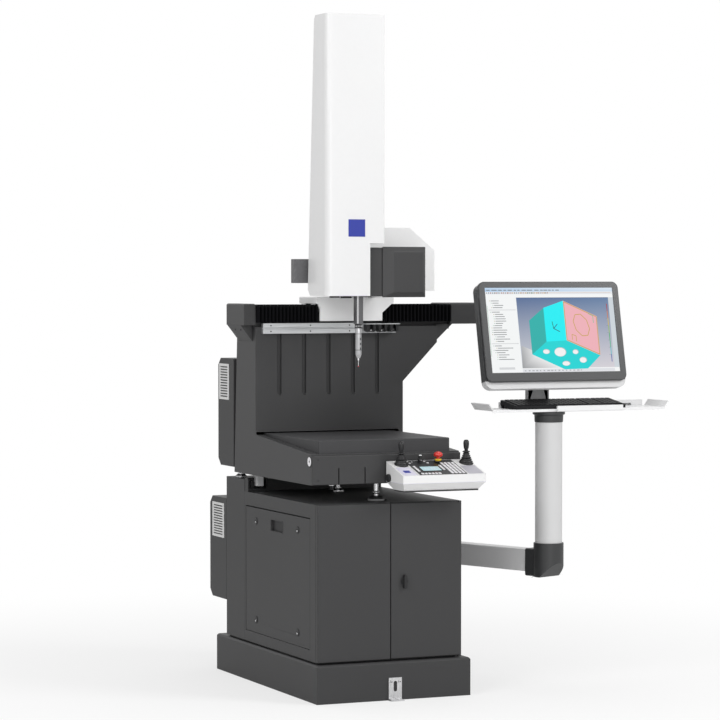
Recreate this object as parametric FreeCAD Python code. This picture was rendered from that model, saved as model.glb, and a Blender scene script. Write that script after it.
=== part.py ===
import FreeCAD, Part
import math
import os

os.makedirs("parts", exist_ok=True)

# Bridge-type coordinate measuring machine on a cabinet, with console and screen arm.
# Millimetres, +Z up, front towards -Y, origin on the floor under the middle of the plinth.

# clearances
TOUCH = 0.25          # gap of a piece that rests loosely on its seat
RUN = 0.05            # radial running clearance of pins and shafts
SLIDE = 0.35          # gap of guide blocks, bushings and slots

# plinth and floor anchor
PLINTH_X = 295.0
PLINTH_Y = 492.5
PLINTH_H = 135.0
PLINTH_WALL = 12.0
BRACKET_W = 50.0
BRACKET_H = 80.0
BRACKET_FOOT = 30.0
BRACKET_T = 6.0
ANCHOR_R = 5.5

# cabinet
CAB_X0 = -285.0
CAB_X1 = 268.0
CAB_FRONT = -474.5
CAB_REAR = 228.0
CAB_TOP = 691.0
SKIN = 4.0
TOE_H = 6.0
TOE_IN = 10.0
PANEL_T = 18.0
SPLIT_X = -7.0
STILE = 14.0
POCKET_R = 40.0
POCKET_D = 8.0
CAB_LID = 14.0
DOOR_Z0 = PLINTH_H + TOE_H + 2
HINGE_XY = (CAB_X1 - 4.0, CAB_FRONT + 4.5)
HINGE_R = 2.0
LUG_H = 5.5
LATCH_XZ = (45.0, 413.0)

# left side panel, its pull and its four quarter-turn locks
SIDE_Y = (-404.0, 213.0)
SIDE_Z = (181.0, 641.0)
SIDE_T = 14.5
SIDE_SEAM = 1.0
SIDE_TOP_GAP = 3.0
SIDE_LIP = 16.0
PULL_Y = (-148.0, -37.0)
PULL_Z = (568.0, 607.0)
PULL_D = 10.0
LOCKS = ((109.0, 591.0), (-292.0, 591.0), (109.0, 229.0), (-292.0, 229.0))
LOCK_R = 11.0

# rear column, vent boxes and grilles
REAR_Y1 = 415.0
REAR_TOP = 735.0
VENT_LOW = (-285.0, 180.0, 590.0, 270.0, 652.0)
VENT_UP = (-290.0, 200.0, 487.0, 775.0, 1178.0)
VENT_UP_Y0 = 325.0
VENT_CUT = 26.0
GRILLE_T = 2.0
GRILLE_SLOTS = 12
GRILLE_LOW = (440.0, 560.0, 500.0, 630.0)
GRILLE_UP = (373.0, 472.0, 1023.0, 1157.0)

# feet between the cabinet and the machine bed
BED_Z0 = 757.0
FEET = ((0.0, -330.0, CAB_TOP - POCKET_D), (-247.0, 358.0, REAR_TOP), (225.0, 358.0, REAR_TOP),
        (33.0, 94.0, CAB_TOP))

# machine casting
BED_X0 = -290.0
BED_X1 = 280.0
COVER_Y = -440.0
COVER_T = 12.0
COVER_SLOTS = (-190.0, -90.0)
SLOT_TOP = 816.0
STEP_Z = 880.0
BED_FRONT_Z = 860.0
DECK_FRONT_Z = 864.0
DECK_REAR_Z = 907.0
WALL_X1 = 300.0
WALL_Y0 = 100.0
WALL_TOP = 1300.0
WALL_BACK_TOP = 287.0
WALL_BACK_LOW = 318.0
FLARE_X = 440.0
FLARE_Z = (1094.0, 1238.0)
FLARE_T = 60.0
GROOVES = 5
GROOVE_X0 = -195.6
GROOVE_PITCH = 97.5
GROOVE_R = 7.8
GROOVE_Z0 = 1056.0
GROOVE_D = 7.0

# table plate
TABLE_X = (-257.0, 247.0)
TABLE_Y = (-419.0, 98.3)
TABLE_Z = (860.0, 912.0)
TABLE_R = 5.0
TABLE_GAP = 1.5

# X guide
GUIDE_X0 = -291.0
GUIDE_X1 = 493.0
GUIDE_Y = (118.0, 275.0)
GUIDE_TOP = 1352.0
RAIL_W = 22.0
RAIL_H = 14.0
X_RAIL_Y = (150.0, 243.0)
CAP_Y = (95.0, 275.0)
CAP_Z = (1306.0, 1384.5)
CAP_L = 46.0
CAP_R = 150.0
GUSSET_H = 60.0

# X carriage
FLANGE_X = (-65.0, 245.0)
FLANGE_Y = (62.0, 310.0)
FLANGE_Z = (1384.0, 1408.0)
TAPER_Y = 228.0
TAPER_X = 45.0
APRON_X = (-49.0, 199.0)
APRON_FLARE = (10.0, 42.0)
X_BLOCK_IN = 36.0
APRON_T = 12.0
APRON_Z0 = 1320.0

# bellows
FOLD_PITCH = 13.0
BEL_Y = (76.0, 290.0)
BEL_Z = (1316.0, 1380.0)
BEL_FOLD = 7.0
BEL_WALL = 3.0

# Y beam and what rides on it
BEAM_X = (30.0, 170.0)
BEAM_Y = (-190.0, 520.0)
BEAM_TAPER = (334.0, 112.0)
BEAM_Z = (1412.0, 1588.0)
BEAM_WALL = 10.0
BEAM_CHANNEL = 40.0
BEAM_WEB = BEAM_Z[0] + BEAM_CHANNEL
Y_RAIL_X = (95.0, 141.0)
Y_RAIL_Y = (-145.0, 420.0)
Y_BLOCK_Y = (94.0, 156.0)
YOKE_X0 = -118.0
YOKE_Y = (-40.0, -24.0)
YOKE_Z0 = 1440.0
DRIVE_W = 81.0
DRIVE_Y = (-205.0, -70.0)
DRIVE_Z = (1410.0, 1590.0)
DRIVE_CUT = 22.0
HOOD_X = (18.0, 410.0)
HOOD_Y = (60.0, 560.0)
HOOD_TAPER = (318.0, 122.0)
HOOD_LEFT_CUT = 24.0
HOOD_RIGHT_CUT = (102.0, 84.0)
HOOD_Z = (1430.0, 1664.0)
HOOD_T = 3.0

# column cover and Z axis
COL_X = (-143.0, 82.0)
COL_Y0 = -222.0
COL_Z = (1414.0, 2420.0)
COL_D_LOW = 180.0
COL_D_TOP = 118.0
COL_T = 3.0
COL_CREASE_X = -21.0
COL_SWEEP = 6.0
COL_R = 24.0
RAM_X = -3.0
RAM_Y = -180.0
RAM_W = 27.8
RAM_Z = (1313.0, 2150.0)
RAM_CUT = 3.0
HEAD_R = 11.5
HEAD_Z0 = 1190.0
COLLAR_R = 13.0
COLLAR_H = 14.0
STYLUS_Z0 = 1159.0
BALL_R = 2.5
FRAME_X = (-120.0, 20.0)
FRAME_Y = (-135.0, -111.0)
MOTOR = (-85.0, 2290.0)
MOTOR_R = 26.0
MOTOR_L = 60.0
WINDOW_X = (-80.0, -20.0)
WINDOW_Z = (1760.0, 1960.0, 2160.0)
WINDOW_H = 150.0
BUSH_Z = (1432.0, 1660.0)
BUSH_H = 60.0
PULLEY_OFF = 55.0
PULLEY_R = 14.0

# stylus rack on the wall
RACK_X = (-266.0, 130.0)
RACK_Y = (84.0, 100.0)
RACK_Z = (1275.0, 1313.0)
SHELF_X = (130.0, 268.0)
HOLDERS = 3

# console
CON_X = (-14.0, 306.0)
CON_Y = (-595.0, -448.0)
CON_TOP = (792.5, 836.2)
CON_EDGE_H = 26.5
CON_DISH_H = 28.0
CON_MID = CON_TOP[0] - CON_EDGE_H
CON_LOW = CON_MID - CON_DISH_H
FACE_X = (50.0, 236.0)
FACE_Y = (CON_Y[0] + 6.0, CON_Y[1] - 7.0)
STICKS = ((28.0, -486.0), (280.0, -486.0))
STICK_H = 82.0
SHANK_H = 6.0
PIVOT_DROP = 9.0
WELL = 14.0
EAR_GAP = 9.5
CROSS_R = 2.5
HUB_HALF = 5.0
CHEEK = (6.0, 9.0)
STOP_XY = (176.0, -474.0)
KEY_XY = (108.0, -470.0)
KNOB_YZ = (CON_Y[1] - 32.0, CON_MID + 13.0)

# screen arm, pole and tray
PIVOT = (338.5, 390.5)
ARM_L = 850.0
ARM_TURN = 21.7
ARM_W = 60.0
ARM_Z = (412.0, 492.0)
PIN_R = 12.0
POLE = (PIVOT[0] + ARM_L * math.sin(math.radians(ARM_TURN)),
        PIVOT[1] - ARM_L * math.cos(math.radians(ARM_TURN)))
POLE_R = 49.0
POLE_Z = (470.0, 985.0)
ELBOW_R = 54.5
ELBOW_TOP = 521.0
COLLAR_Z = (958.0, 998.0)
HUB_R = 46.0
TRAY_X = (POLE[0] - 249.0, POLE[0] + 452.0)
TRAY_Y = (POLE[1] - 50.0, POLE[1] + 100.0)
TRAY_Z = 1003.0
TRAY_T = 4.0
TRAY_LIP = 6.0
REST_X = (6.0, 275.0)
REST_D = 9.0
REST_H = 15.0
KEYB_X = (POLE[0] - 156.0, POLE[0] + 289.0)
KEYB_Y = (POLE[1] - 49.0, POLE[1] + 80.5)
POST_Y = (TRAY_Y[1] - 18.5, TRAY_Y[1] - 3.5)

# monitor
MON_TILT = 12.2
MON_BASE = (POLE[0] - 2.0, POLE[1] - 74.0, 1119.0)
BEZEL_T = 14.0
BEZEL_R = 24.0
SCREEN_W = 518.0
SCREEN_H = 311.0
RIM_SIDE = 24.0
RIM_TOP = 22.0
BEZEL_W = SCREEN_W + 2 * RIM_SIDE
BEZEL_H = SCREEN_H + 2 * RIM_TOP
SHELL_T = 34.0
SHELL_DROP = 34.0
TILT_AXIS = (POLE[1] + 50.0, 1250.0)
TILT_R = 8.0


def vec(x, y, z):
    return FreeCAD.Vector(x, y, z)


def box(x0, x1, y0, y1, z0, z1):
    return Part.makeBox(x1 - x0, y1 - y0, z1 - z0, vec(x0, y0, z0))


def face_of(points):
    return Part.Face(Part.makePolygon(points + [points[0]]))


def prism_x(profile, x0, x1):
    return face_of([vec(x0, y, z) for y, z in profile]).extrude(vec(x1 - x0, 0, 0))


def prism_y(profile, y0, y1):
    return face_of([vec(x, y0, z) for x, z in profile]).extrude(vec(0, y1 - y0, 0))


def prism_z(profile, z0, z1):
    return face_of([vec(x, y, z0) for x, y in profile]).extrude(vec(0, 0, z1 - z0))


def rod(x, y, z, r, length, axis):
    return Part.makeCylinder(r, length, vec(x, y, z), vec(*axis))


def turned(profile, x, y):
    face = face_of([vec(r, 0, z) for r, z in profile])
    shape = face.revolve(vec(0, 0, 0), vec(0, 0, 1), 360)
    shape.translate(vec(x, y, 0))
    return shape


def fuse(*shapes):
    result = shapes[0]
    for shape in shapes[1:]:
        result = result.fuse(shape)
    return result.removeSplitter()


def cut(shape, *tools):
    for tool in tools:
        shape = shape.cut(tool)
    return shape


def picked(shape, test):
    return [e for e in shape.Edges if test(e.Vertexes[0].Point, e.Vertexes[-1].Point)]


def near(a, b):
    return abs(a - b) < 0.01


def upright(a, b):
    return near(a.x, b.x) and near(a.y, b.y)


def save(name, shape):
    shape.exportStep("parts/" + name + ".step")


# ---------------------------------------------------------------- stand
def plinth():
    shape = box(-PLINTH_X, PLINTH_X, -PLINTH_Y, PLINTH_Y, 0, PLINTH_H)
    top = picked(shape, lambda a, b: near(a.z, PLINTH_H) and near(b.z, PLINTH_H))
    shape = shape.makeChamfer(6.0, top)
    inner = box(-PLINTH_X + PLINTH_WALL, PLINTH_X - PLINTH_WALL, -PLINTH_Y + PLINTH_WALL,
                PLINTH_Y - PLINTH_WALL, -1, PLINTH_H - PLINTH_WALL)
    save("plinth", cut(shape, inner))


def floor_bracket():
    half = BRACKET_W / 2
    y1 = -PLINTH_Y
    plate = box(-half, half, y1 - BRACKET_T, y1, 0, BRACKET_H)
    foot = box(-half, half, y1 - BRACKET_FOOT, y1, 0, BRACKET_T)
    shape = fuse(plate, foot)
    slot = fuse(box(-6.5, 6.5, y1 - 20, y1 + 1, 38, 62),
                rod(0, y1 - 20, 38, 6.5, 21, (0, 1, 0)),
                rod(0, y1 - 20, 62, 6.5, 21, (0, 1, 0)))
    hole = rod(0, y1 - 18, -1, ANCHOR_R, BRACKET_T + 2, (0, 0, 1))
    save("floor_bracket", cut(shape, slot, hole))


def cabinet_frame():
    front = CAB_FRONT + PANEL_T
    outer = box(CAB_X0, CAB_X1, front, CAB_REAR, PLINTH_H + TOE_H, CAB_TOP)
    inner = box(CAB_X0 + SKIN, CAB_X1 - SKIN, front + SKIN, CAB_REAR - SKIN,
                PLINTH_H + TOE_H + SKIN, CAB_TOP - CAB_LID)
    shape = cut(outer, inner)
    z0, z1 = PLINTH_H + TOE_H + STILE, CAB_TOP - CAB_LID
    left = box(CAB_X0 + STILE, SPLIT_X - STILE / 2, front - 1, front + SKIN + 1, z0, z1)
    right = box(SPLIT_X + STILE / 2, CAB_X1 - STILE, front - 1, front + SKIN + 1, z0, z1)
    gap = box(CAB_X0 - 1, CAB_X0 + SKIN + 1, SIDE_Y[0] - SIDE_SEAM, SIDE_Y[1] + SIDE_SEAM,
              SIDE_Z[0] - SIDE_SEAM, SIDE_Z[1] + SIDE_SEAM)
    pocket = rod(FEET[0][0], FEET[0][1], CAB_TOP - POCKET_D, POCKET_R, POCKET_D + 1, (0, 0, 1))
    shape = cut(shape, left, right, gap, pocket)
    x, y = HINGE_XY
    lug_x = (x - 7, CAB_X1 - 0.5)
    low = box(*lug_x, CAB_FRONT + 0.5, CAB_FRONT + TOE_IN + PANEL_T, DOOR_Z0 - 6, DOOR_Z0 - 0.5)
    high = box(*lug_x, CAB_FRONT + 0.5, front, CAB_TOP - LUG_H, CAB_TOP)
    pins = fuse(rod(x, y, DOOR_Z0 - 3, HINGE_R, 15, (0, 0, 1)),
                rod(x, y, CAB_TOP - LUG_H - 12, HINGE_R, 14, (0, 0, 1)))
    x0 = CAB_X0 + SIDE_T + 0.5
    ring = box(x0, x0 + SKIN, SIDE_Y[0] - SIDE_LIP, CAB_REAR - SKIN, SIDE_Z[0] - SIDE_LIP,
               SIDE_Z[1] + SIDE_LIP)
    hole = box(x0 - 1, x0 + SKIN + 1, SIDE_Y[0] + SIDE_LIP, SIDE_Y[1] - SIDE_LIP,
               SIDE_Z[0] + SIDE_LIP, SIDE_Z[1] - SIDE_LIP)
    walls = box(CAB_X0 + SKIN - 0.5, x0 + SKIN, SIDE_Y[0] - SIDE_LIP, CAB_REAR - SKIN,
                SIDE_Z[0] - SIDE_LIP, SIDE_Z[1] + SIDE_LIP)
    core = box(CAB_X0, x0, SIDE_Y[0] - SIDE_SEAM, SIDE_Y[1] + SIDE_SEAM,
               SIDE_Z[0] - SIDE_SEAM, SIDE_Z[1] + SIDE_SEAM)
    rim = cut(fuse(walls, ring), core, hole)
    toe = box(CAB_X0 + TOE_IN, CAB_X1 - TOE_IN, CAB_FRONT + TOE_IN + PANEL_T, CAB_REAR,
              PLINTH_H, PLINTH_H + TOE_H + SKIN)
    save("cabinet_frame", fuse(shape, rim, toe, low, high, pins))


def cabinet_front_panel():
    shape = box(CAB_X0 + 0.5, SPLIT_X - 1, CAB_FRONT, CAB_FRONT + PANEL_T,
                PLINTH_H + TOE_H + 1, CAB_TOP - 1)
    edge = picked(shape, lambda a, b: near(a.y, CAB_FRONT) and near(b.y, CAB_FRONT))
    save("cabinet_front_panel", shape.makeChamfer(1.5, edge))


def door():
    back = CAB_FRONT + PANEL_T - TOUCH
    x1 = CAB_X1 - 0.5
    profile = [(SPLIT_X + 1, CAB_FRONT), (x1, CAB_FRONT), (x1, back - 4), (x1 - 4, back),
               (SPLIT_X + 1, back)]
    z1 = CAB_TOP - 1.5
    shape = prism_z(profile, DOOR_Z0, z1)
    edge = picked(shape, lambda a, b: near(a.y, CAB_FRONT) and near(b.y, CAB_FRONT))
    shape = shape.makeChamfer(1.5, edge)
    x, y = HINGE_XY
    notch = box(x - 10, x1 + 1, CAB_FRONT - 1, back + 1, CAB_TOP - LUG_H - 0.5, z1 + 1)
    low = rod(x, y, DOOR_Z0 - 1, HINGE_R + RUN, 16, (0, 0, 1))
    high = rod(x, y, CAB_TOP - LUG_H - 16, HINGE_R + RUN, 16, (0, 0, 1))
    bore = rod(LATCH_XZ[0], CAB_FRONT - 1, LATCH_XZ[1], 6 + RUN, PANEL_T + 2, (0, 1, 0))
    save("door", cut(shape, notch, low, high, bore))


def door_handle():
    x, z = LATCH_XZ
    y0 = CAB_FRONT - TOUCH
    rose = rod(x, y0, z, 13, 5, (0, -1, 0))
    shaft = rod(x, CAB_FRONT + PANEL_T - 1, z, 6, PANEL_T + 4, (0, -1, 0))
    grip = box(x - 6, x + 6, y0 - 15, y0 - 3, z - 24, z + 24)
    grip = grip.makeFillet(4.0, picked(grip, lambda a, b: near(a.x, b.x) and near(a.z, b.z)))
    save("door_handle", fuse(rose, shaft, grip))


def side_panel():
    shape = box(CAB_X0 + 0.5, CAB_X0 + SIDE_T + 0.5, SIDE_Y[0], SIDE_Y[1], SIDE_Z[0],
                SIDE_Z[1] - SIDE_TOP_GAP)
    edge = picked(shape, lambda a, b: near(a.x, CAB_X0 + 0.5) and near(b.x, CAB_X0 + 0.5))
    shape = shape.makeChamfer(1.2, edge)
    pull = box(CAB_X0 - 1, CAB_X0 + PULL_D, PULL_Y[0], PULL_Y[1], PULL_Z[0], PULL_Z[1])
    for y, z in LOCKS:
        shape = shape.cut(rod(CAB_X0 - 1, y, z, LOCK_R + RUN, SIDE_T + 3, (1, 0, 0)))
    save("side_panel", cut(shape, pull))


def panel_locks():
    locks = []
    for y, z in LOCKS:
        x0 = CAB_X0 - 1.5
        body = rod(x0, y, z, LOCK_R, SIDE_T + 1.5, (1, 0, 0))
        slot = box(x0 - 1, x0 + 3, y - 8, y + 8, z - 1.2, z + 1.2)
        locks.append(cut(body, slot))
    save("panel_locks", Part.makeCompound(locks))


def rear_column():
    outer = box(CAB_X0, CAB_X1, CAB_REAR, REAR_Y1, PLINTH_H + TOE_H, REAR_TOP)
    edge = picked(outer, upright)
    outer = outer.makeChamfer(2.0, [e for e in edge if e.Vertexes[0].Point.y > REAR_Y1 - 1])
    inner = box(CAB_X0 + SKIN, CAB_X1 - SKIN, CAB_REAR + SKIN, REAR_Y1 - SKIN,
                PLINTH_H + TOE_H + SKIN, REAR_TOP - 2 * SKIN)
    toe = box(CAB_X0 + TOE_IN, CAB_X1 - TOE_IN, CAB_REAR, REAR_Y1 - TOE_IN,
              PLINTH_H, PLINTH_H + TOE_H + SKIN)
    save("rear_column", fuse(cut(outer, inner), toe))


def vent_shell(x0, x1, y0, y1, z0, z1):
    c = VENT_CUT
    profile = [(y0, z0), (y1 - c, z0), (y1, z0 + c), (y1, z1 - c), (y1 - c, z1), (y0, z1)]
    outer = prism_x(profile, x0, x1)
    t = SKIN
    inside = [(y0 + t, z0 + t), (y1 - c, z0 + t), (y1 - t, z0 + c), (y1 - t, z1 - c),
              (y1 - c, z1 - t), (y0 + t, z1 - t)]
    return cut(outer, prism_x(inside, x0 + t, x1 - t))


def wall_back(z):
    share = (z - BED_Z0) / (WALL_TOP - BED_Z0)
    return WALL_BACK_LOW + (WALL_BACK_TOP - WALL_BACK_LOW) * share


def vent_boxes():
    x0, x1, y1, z0, z1 = VENT_LOW
    lower = vent_shell(x0, x1, REAR_Y1, y1, z0, z1)
    x0, x1, y1, z0, z1 = VENT_UP
    a, b = z0 + 14, z1 - 14
    seat = prism_x([(wall_back(a), a), (VENT_UP_Y0, a), (VENT_UP_Y0, b), (wall_back(b), b)],
                   x0 + 20, x1 - 20)
    upper = fuse(vent_shell(x0, x1, VENT_UP_Y0, y1, z0, z1), seat)
    save("vent_boxes", Part.makeCompound([lower, upper]))


def grille(x, y0, y1, z0, z1):
    shape = box(x - GRILLE_T, x, y0, y1, z0, z1)
    pitch = (z1 - z0 - 14) / GRILLE_SLOTS
    for i in range(GRILLE_SLOTS):
        z = z0 + 7 + pitch * (i + 0.25)
        shape = shape.cut(box(x - GRILLE_T - 1, x + 1, y0 + 12, y1 - 12, z, z + pitch / 2))
    return shape


def vent_grilles():
    pair = [grille(VENT_LOW[0], *GRILLE_LOW), grille(VENT_UP[0], *GRILLE_UP)]
    save("vent_grilles", Part.makeCompound(pair))


def support_feet():
    feet = []
    for x, y, z in FEET:
        top = BED_Z0
        cone = [(0, z), (22, z), (22, z + 5), (13, z + 12), (13, z + 14), (8, z + 14),
                (8, top - 4), (14, top - 4), (14, top), (0, top)]
        feet.append(turned(cone, x, y))
    save("support_feet", Part.makeCompound(feet))


# ---------------------------------------------------------------- bed and wall
def deck(y):
    share = (y - COVER_Y) / (WALL_Y0 - COVER_Y)
    return DECK_FRONT_Z + (DECK_REAR_Z - DECK_FRONT_Z) * share


def machine_casting():
    y0 = COVER_Y + COVER_T
    bed = prism_x([(y0, BED_Z0), (WALL_BACK_LOW, BED_Z0), (wall_back(STEP_Z), STEP_Z),
                   (WALL_Y0, STEP_Z), (WALL_Y0, DECK_REAR_Z + 10), (WALL_Y0 - 10, deck(90)),
                   (y0, deck(y0))], BED_X0, BED_X1)
    wall = prism_x([(WALL_Y0, BED_Z0), (WALL_BACK_LOW, BED_Z0), (WALL_BACK_TOP, WALL_TOP),
                    (WALL_Y0, WALL_TOP)], BED_X0, WALL_X1)
    flare = prism_y([(WALL_X1 - 20, FLARE_Z[0]), (WALL_X1, FLARE_Z[0]), (FLARE_X, FLARE_Z[1]),
                     (FLARE_X, WALL_TOP), (WALL_X1 - 20, WALL_TOP)], WALL_Y0, WALL_Y0 + FLARE_T)
    pad = prism_y([(WALL_X1 - 20, WALL_TOP - 50), (FLARE_X, WALL_TOP - 30), (FLARE_X, WALL_TOP),
                   (WALL_X1 - 20, WALL_TOP)], WALL_Y0, GUIDE_Y[1])
    shape = fuse(bed, wall, flare, pad)
    pocket = box(TABLE_X[0] - TABLE_GAP, TABLE_X[1] + TABLE_GAP, TABLE_Y[0] - TABLE_GAP,
                 WALL_Y0 - 0.01, TABLE_Z[0], TABLE_Z[1] + 30)
    shape = shape.cut(pocket)
    for i in range(GROOVES):
        x = GROOVE_X0 + GROOVE_PITCH * i
        slot = box(x - GROOVE_R, x + GROOVE_R, WALL_Y0 - 1, WALL_Y0 + GROOVE_D, GROOVE_Z0,
                   WALL_TOP + 1)
        end = rod(x, WALL_Y0 - 1, GROOVE_Z0, GROOVE_R, GROOVE_D + 1, (0, 1, 0))
        shape = cut(shape, slot, end)
    save("machine_casting", shape)


def front_cover():
    shape = box(BED_X0, BED_X1, COVER_Y, COVER_Y + COVER_T, BED_Z0 + 1, BED_FRONT_Z)
    edge = picked(shape, lambda a, b: near(a.y, COVER_Y) and near(b.y, COVER_Y))
    shape = shape.makeChamfer(2.0, edge)
    for x in COVER_SLOTS:
        shape = shape.cut(box(x - 2, x + 2, COVER_Y - 1, COVER_Y + 8, BED_Z0, SLOT_TOP))
    save("front_cover", shape)


def table_plate():
    shape = box(TABLE_X[0], TABLE_X[1], TABLE_Y[0], TABLE_Y[1], TABLE_Z[0], TABLE_Z[1])
    shape = shape.makeFillet(TABLE_R, picked(shape, upright))
    rim = [e for e in shape.Edges if near(e.BoundBox.ZMin, TABLE_Z[1])]
    save("table_plate", shape.makeChamfer(2.0, rim))


def x_guide():
    beam = box(GUIDE_X0, GUIDE_X1, GUIDE_Y[0], GUIDE_Y[1], WALL_TOP, GUIDE_TOP)
    slot = box(GUIDE_X0 - 1, GUIDE_X1 + 1, 178, 215, GUIDE_TOP - 8, GUIDE_TOP + 1)
    save("x_guide_beam", cut(beam, slot))
    rails = [rail_x(y) for y in X_RAIL_Y]
    save("x_guide_rails", Part.makeCompound(rails))


def rail_x(y):
    w, h = RAIL_W / 2, RAIL_H
    z = GUIDE_TOP
    profile = [(y - w, z), (y + w, z), (y + w, z + 4), (y + w - 3, z + 6), (y + w - 3, z + 9),
               (y + w, z + 11), (y + w, z + h), (y - w, z + h), (y - w, z + 11),
               (y - w + 3, z + 9), (y - w + 3, z + 6), (y - w, z + 4)]
    return prism_x(profile, GUIDE_X0 + 8, GUIDE_X1 - 8)


def end_caps():
    z0, z1 = CAP_Z
    cap = box(GUIDE_X0 - CAP_L, GUIDE_X0, CAP_Y[0], CAP_Y[1], z0, z1)
    cap = cap.makeChamfer(4.0, picked(cap, lambda a, b: near(a.z, z1) and near(b.z, z1)))
    gusset = prism_y([(GUIDE_X0 - CAP_L, z0), (BED_X0, z0 - GUSSET_H), (BED_X0, z0)],
                     WALL_Y0 + 30, CAP_Y[1] - 6)
    bed = box(GUIDE_X0, BED_X0 + 1, GUIDE_Y[0] - 1, GUIDE_Y[1] + 1, WALL_TOP, z1)
    left = cut(fuse(cap, gusset), bed)
    cap = box(GUIDE_X1, GUIDE_X1 + CAP_R, CAP_Y[0], CAP_Y[1], z0, z1)
    cap = cap.makeChamfer(4.0, picked(cap, lambda a, b: near(a.z, z1) and near(b.z, z1)))
    gusset = prism_y([(FLARE_X, FLARE_Z[1] + 6), (GUIDE_X1 + 14, z0), (FLARE_X, z0)],
                     WALL_Y0 + 8, CAP_Y[1] - 40)
    block = box(FLARE_X, GUIDE_X1, WALL_Y0 + 8, CAP_Y[1] - 40, z0 - 18, WALL_TOP)
    seat = box(FLARE_X - 1, GUIDE_X1, GUIDE_Y[0], GUIDE_Y[1], WALL_TOP, z1)
    save("end_caps", Part.makeCompound([left, cut(fuse(cap, gusset, block), seat)]))


def bellows(name, x0, x1):
    folds = round((x1 - x0) / FOLD_PITCH)
    pitch = (x1 - x0) / folds
    front, top = [], []
    for i in range(folds):
        x = x0 + pitch * i
        front += [(x, BEL_FOLD), (x + pitch / 2, 0.0)]
        top += [(x, BEL_FOLD), (x + pitch / 2, 0.0)]
    front.append((x1, BEL_FOLD))
    top.append((x1, BEL_FOLD))
    y0, y1 = BEL_Y
    z0, z1 = BEL_Z
    plan = [(x, y0 + d) for x, d in front] + [(x, y1 - d) for x, d in reversed(front)]
    side = [(x, z1 - d) for x, d in top] + [(x1, z0), (x0, z0)]
    shape = prism_z(plan, z0, z1).common(prism_y(side, y0, y1))
    inset = BEL_FOLD + BEL_WALL
    hole = box(x0 - 1, x1 + 1, y0 + inset, y1 - inset, z0 - 1, z1 - inset)
    save(name, shape.cut(hole))


# ---------------------------------------------------------------- moving axes
def x_carriage():
    x0, x1 = FLANGE_X
    y0, y1 = FLANGE_Y
    z0, z1 = FLANGE_Z
    plan = [(x0, y0), (x1, y0), (x1, TAPER_Y), (x1 - TAPER_X, y1), (x0 + TAPER_X, y1), (x0, TAPER_Y)]
    flange = prism_z(plan, z0, z1)
    edge = picked(flange, lambda a, b: near(a.z, z1) and near(b.z, z1))
    flange = flange.makeChamfer(2.0, edge)
    a0, a1 = APRON_X
    left, right = APRON_FLARE
    outline = [(a0, APRON_Z0), (a1, APRON_Z0), (a1, z0 - 34), (a1 + right, z0 + 2),
               (a0 - left, z0 + 2), (a0, z0 - 20)]
    front = prism_y(outline, y0, y0 + APRON_T)
    rear = box(a0 + TAPER_X, a1 - TAPER_X, y1 - APRON_T, y1, APRON_Z0, z0 + 2)
    save("x_carriage", fuse(flange, front, rear))


def guide_blocks():
    blocks = []
    for x in (APRON_X[0] + X_BLOCK_IN, APRON_X[1] - X_BLOCK_IN):
        for y in X_RAIL_Y:
            block = box(x - 30, x + 30, y - 22, y + 22, GUIDE_TOP + 2, FLANGE_Z[0])
            w = RAIL_W / 2 + SLIDE
            blocks.append(block.cut(box(x - 31, x + 31, y - w, y + w, GUIDE_TOP,
                                        GUIDE_TOP + RAIL_H + SLIDE)))
    for x in Y_RAIL_X:
        for y in Y_BLOCK_Y:
            w = RAIL_W / 2 + SLIDE
            block = box(x - 17, x + 17, y - 26, y + 26, FLANGE_Z[1], BEAM_WEB - 6)
            blocks.append(block.cut(box(x - w, x + w, y - 27, y + 27,
                                        BEAM_WEB - RAIL_H - SLIDE, BEAM_WEB)))
    save("guide_blocks", Part.makeCompound(blocks))


def y_beam():
    x0, x1 = BEAM_X
    z0, z1 = BEAM_Z
    t = BEAM_WALL
    taper_y, taper_x = BEAM_TAPER

    def corner(offset):
        return prism_z([(x0 - 1, taper_y), (x0 + offset, taper_y), (taper_x + offset, BEAM_Y[1] + 2),
                        (x0 - 1, BEAM_Y[1] + 2)], z0 - 2, z1 + 2)

    outline = [(x0, z0), (x1, z0), (x1, z1 - t), (x1 - t, z1), (x0 + t, z1), (x0, z1 - t)]
    shape = prism_y(outline, *BEAM_Y)
    channel = box(x0 + t, x1 - t, BEAM_Y[0] + t, BEAM_Y[1] + 1, z0 - 1, BEAM_WEB)
    hollow = box(x0 + t, x1 - t, BEAM_Y[0] + t, BEAM_Y[1] - t, BEAM_WEB + t, z1 - t)
    shape = cut(shape, corner(0.01), channel.cut(corner(t)), hollow.cut(corner(t)))
    yoke = box(YOKE_X0, x0 + 1, YOKE_Y[0], YOKE_Y[1], YOKE_Z0, z1 - 12)
    save("y_beam", fuse(shape, yoke))
    rails = []
    for x in Y_RAIL_X:
        w, z = RAIL_W / 2, BEAM_WEB
        outline = [(x - w, z), (x + w, z), (x + w, z - 4), (x + w - 3, z - 6),
                   (x + w - 3, z - 9), (x + w, z - 11), (x + w, z - RAIL_H),
                   (x - w, z - RAIL_H), (x - w, z - 11), (x - w + 3, z - 9),
                   (x - w + 3, z - 6), (x - w, z - 4)]
        rails.append(prism_y(outline, *Y_RAIL_Y))
    save("y_guide_rails", Part.makeCompound(rails))


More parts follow.
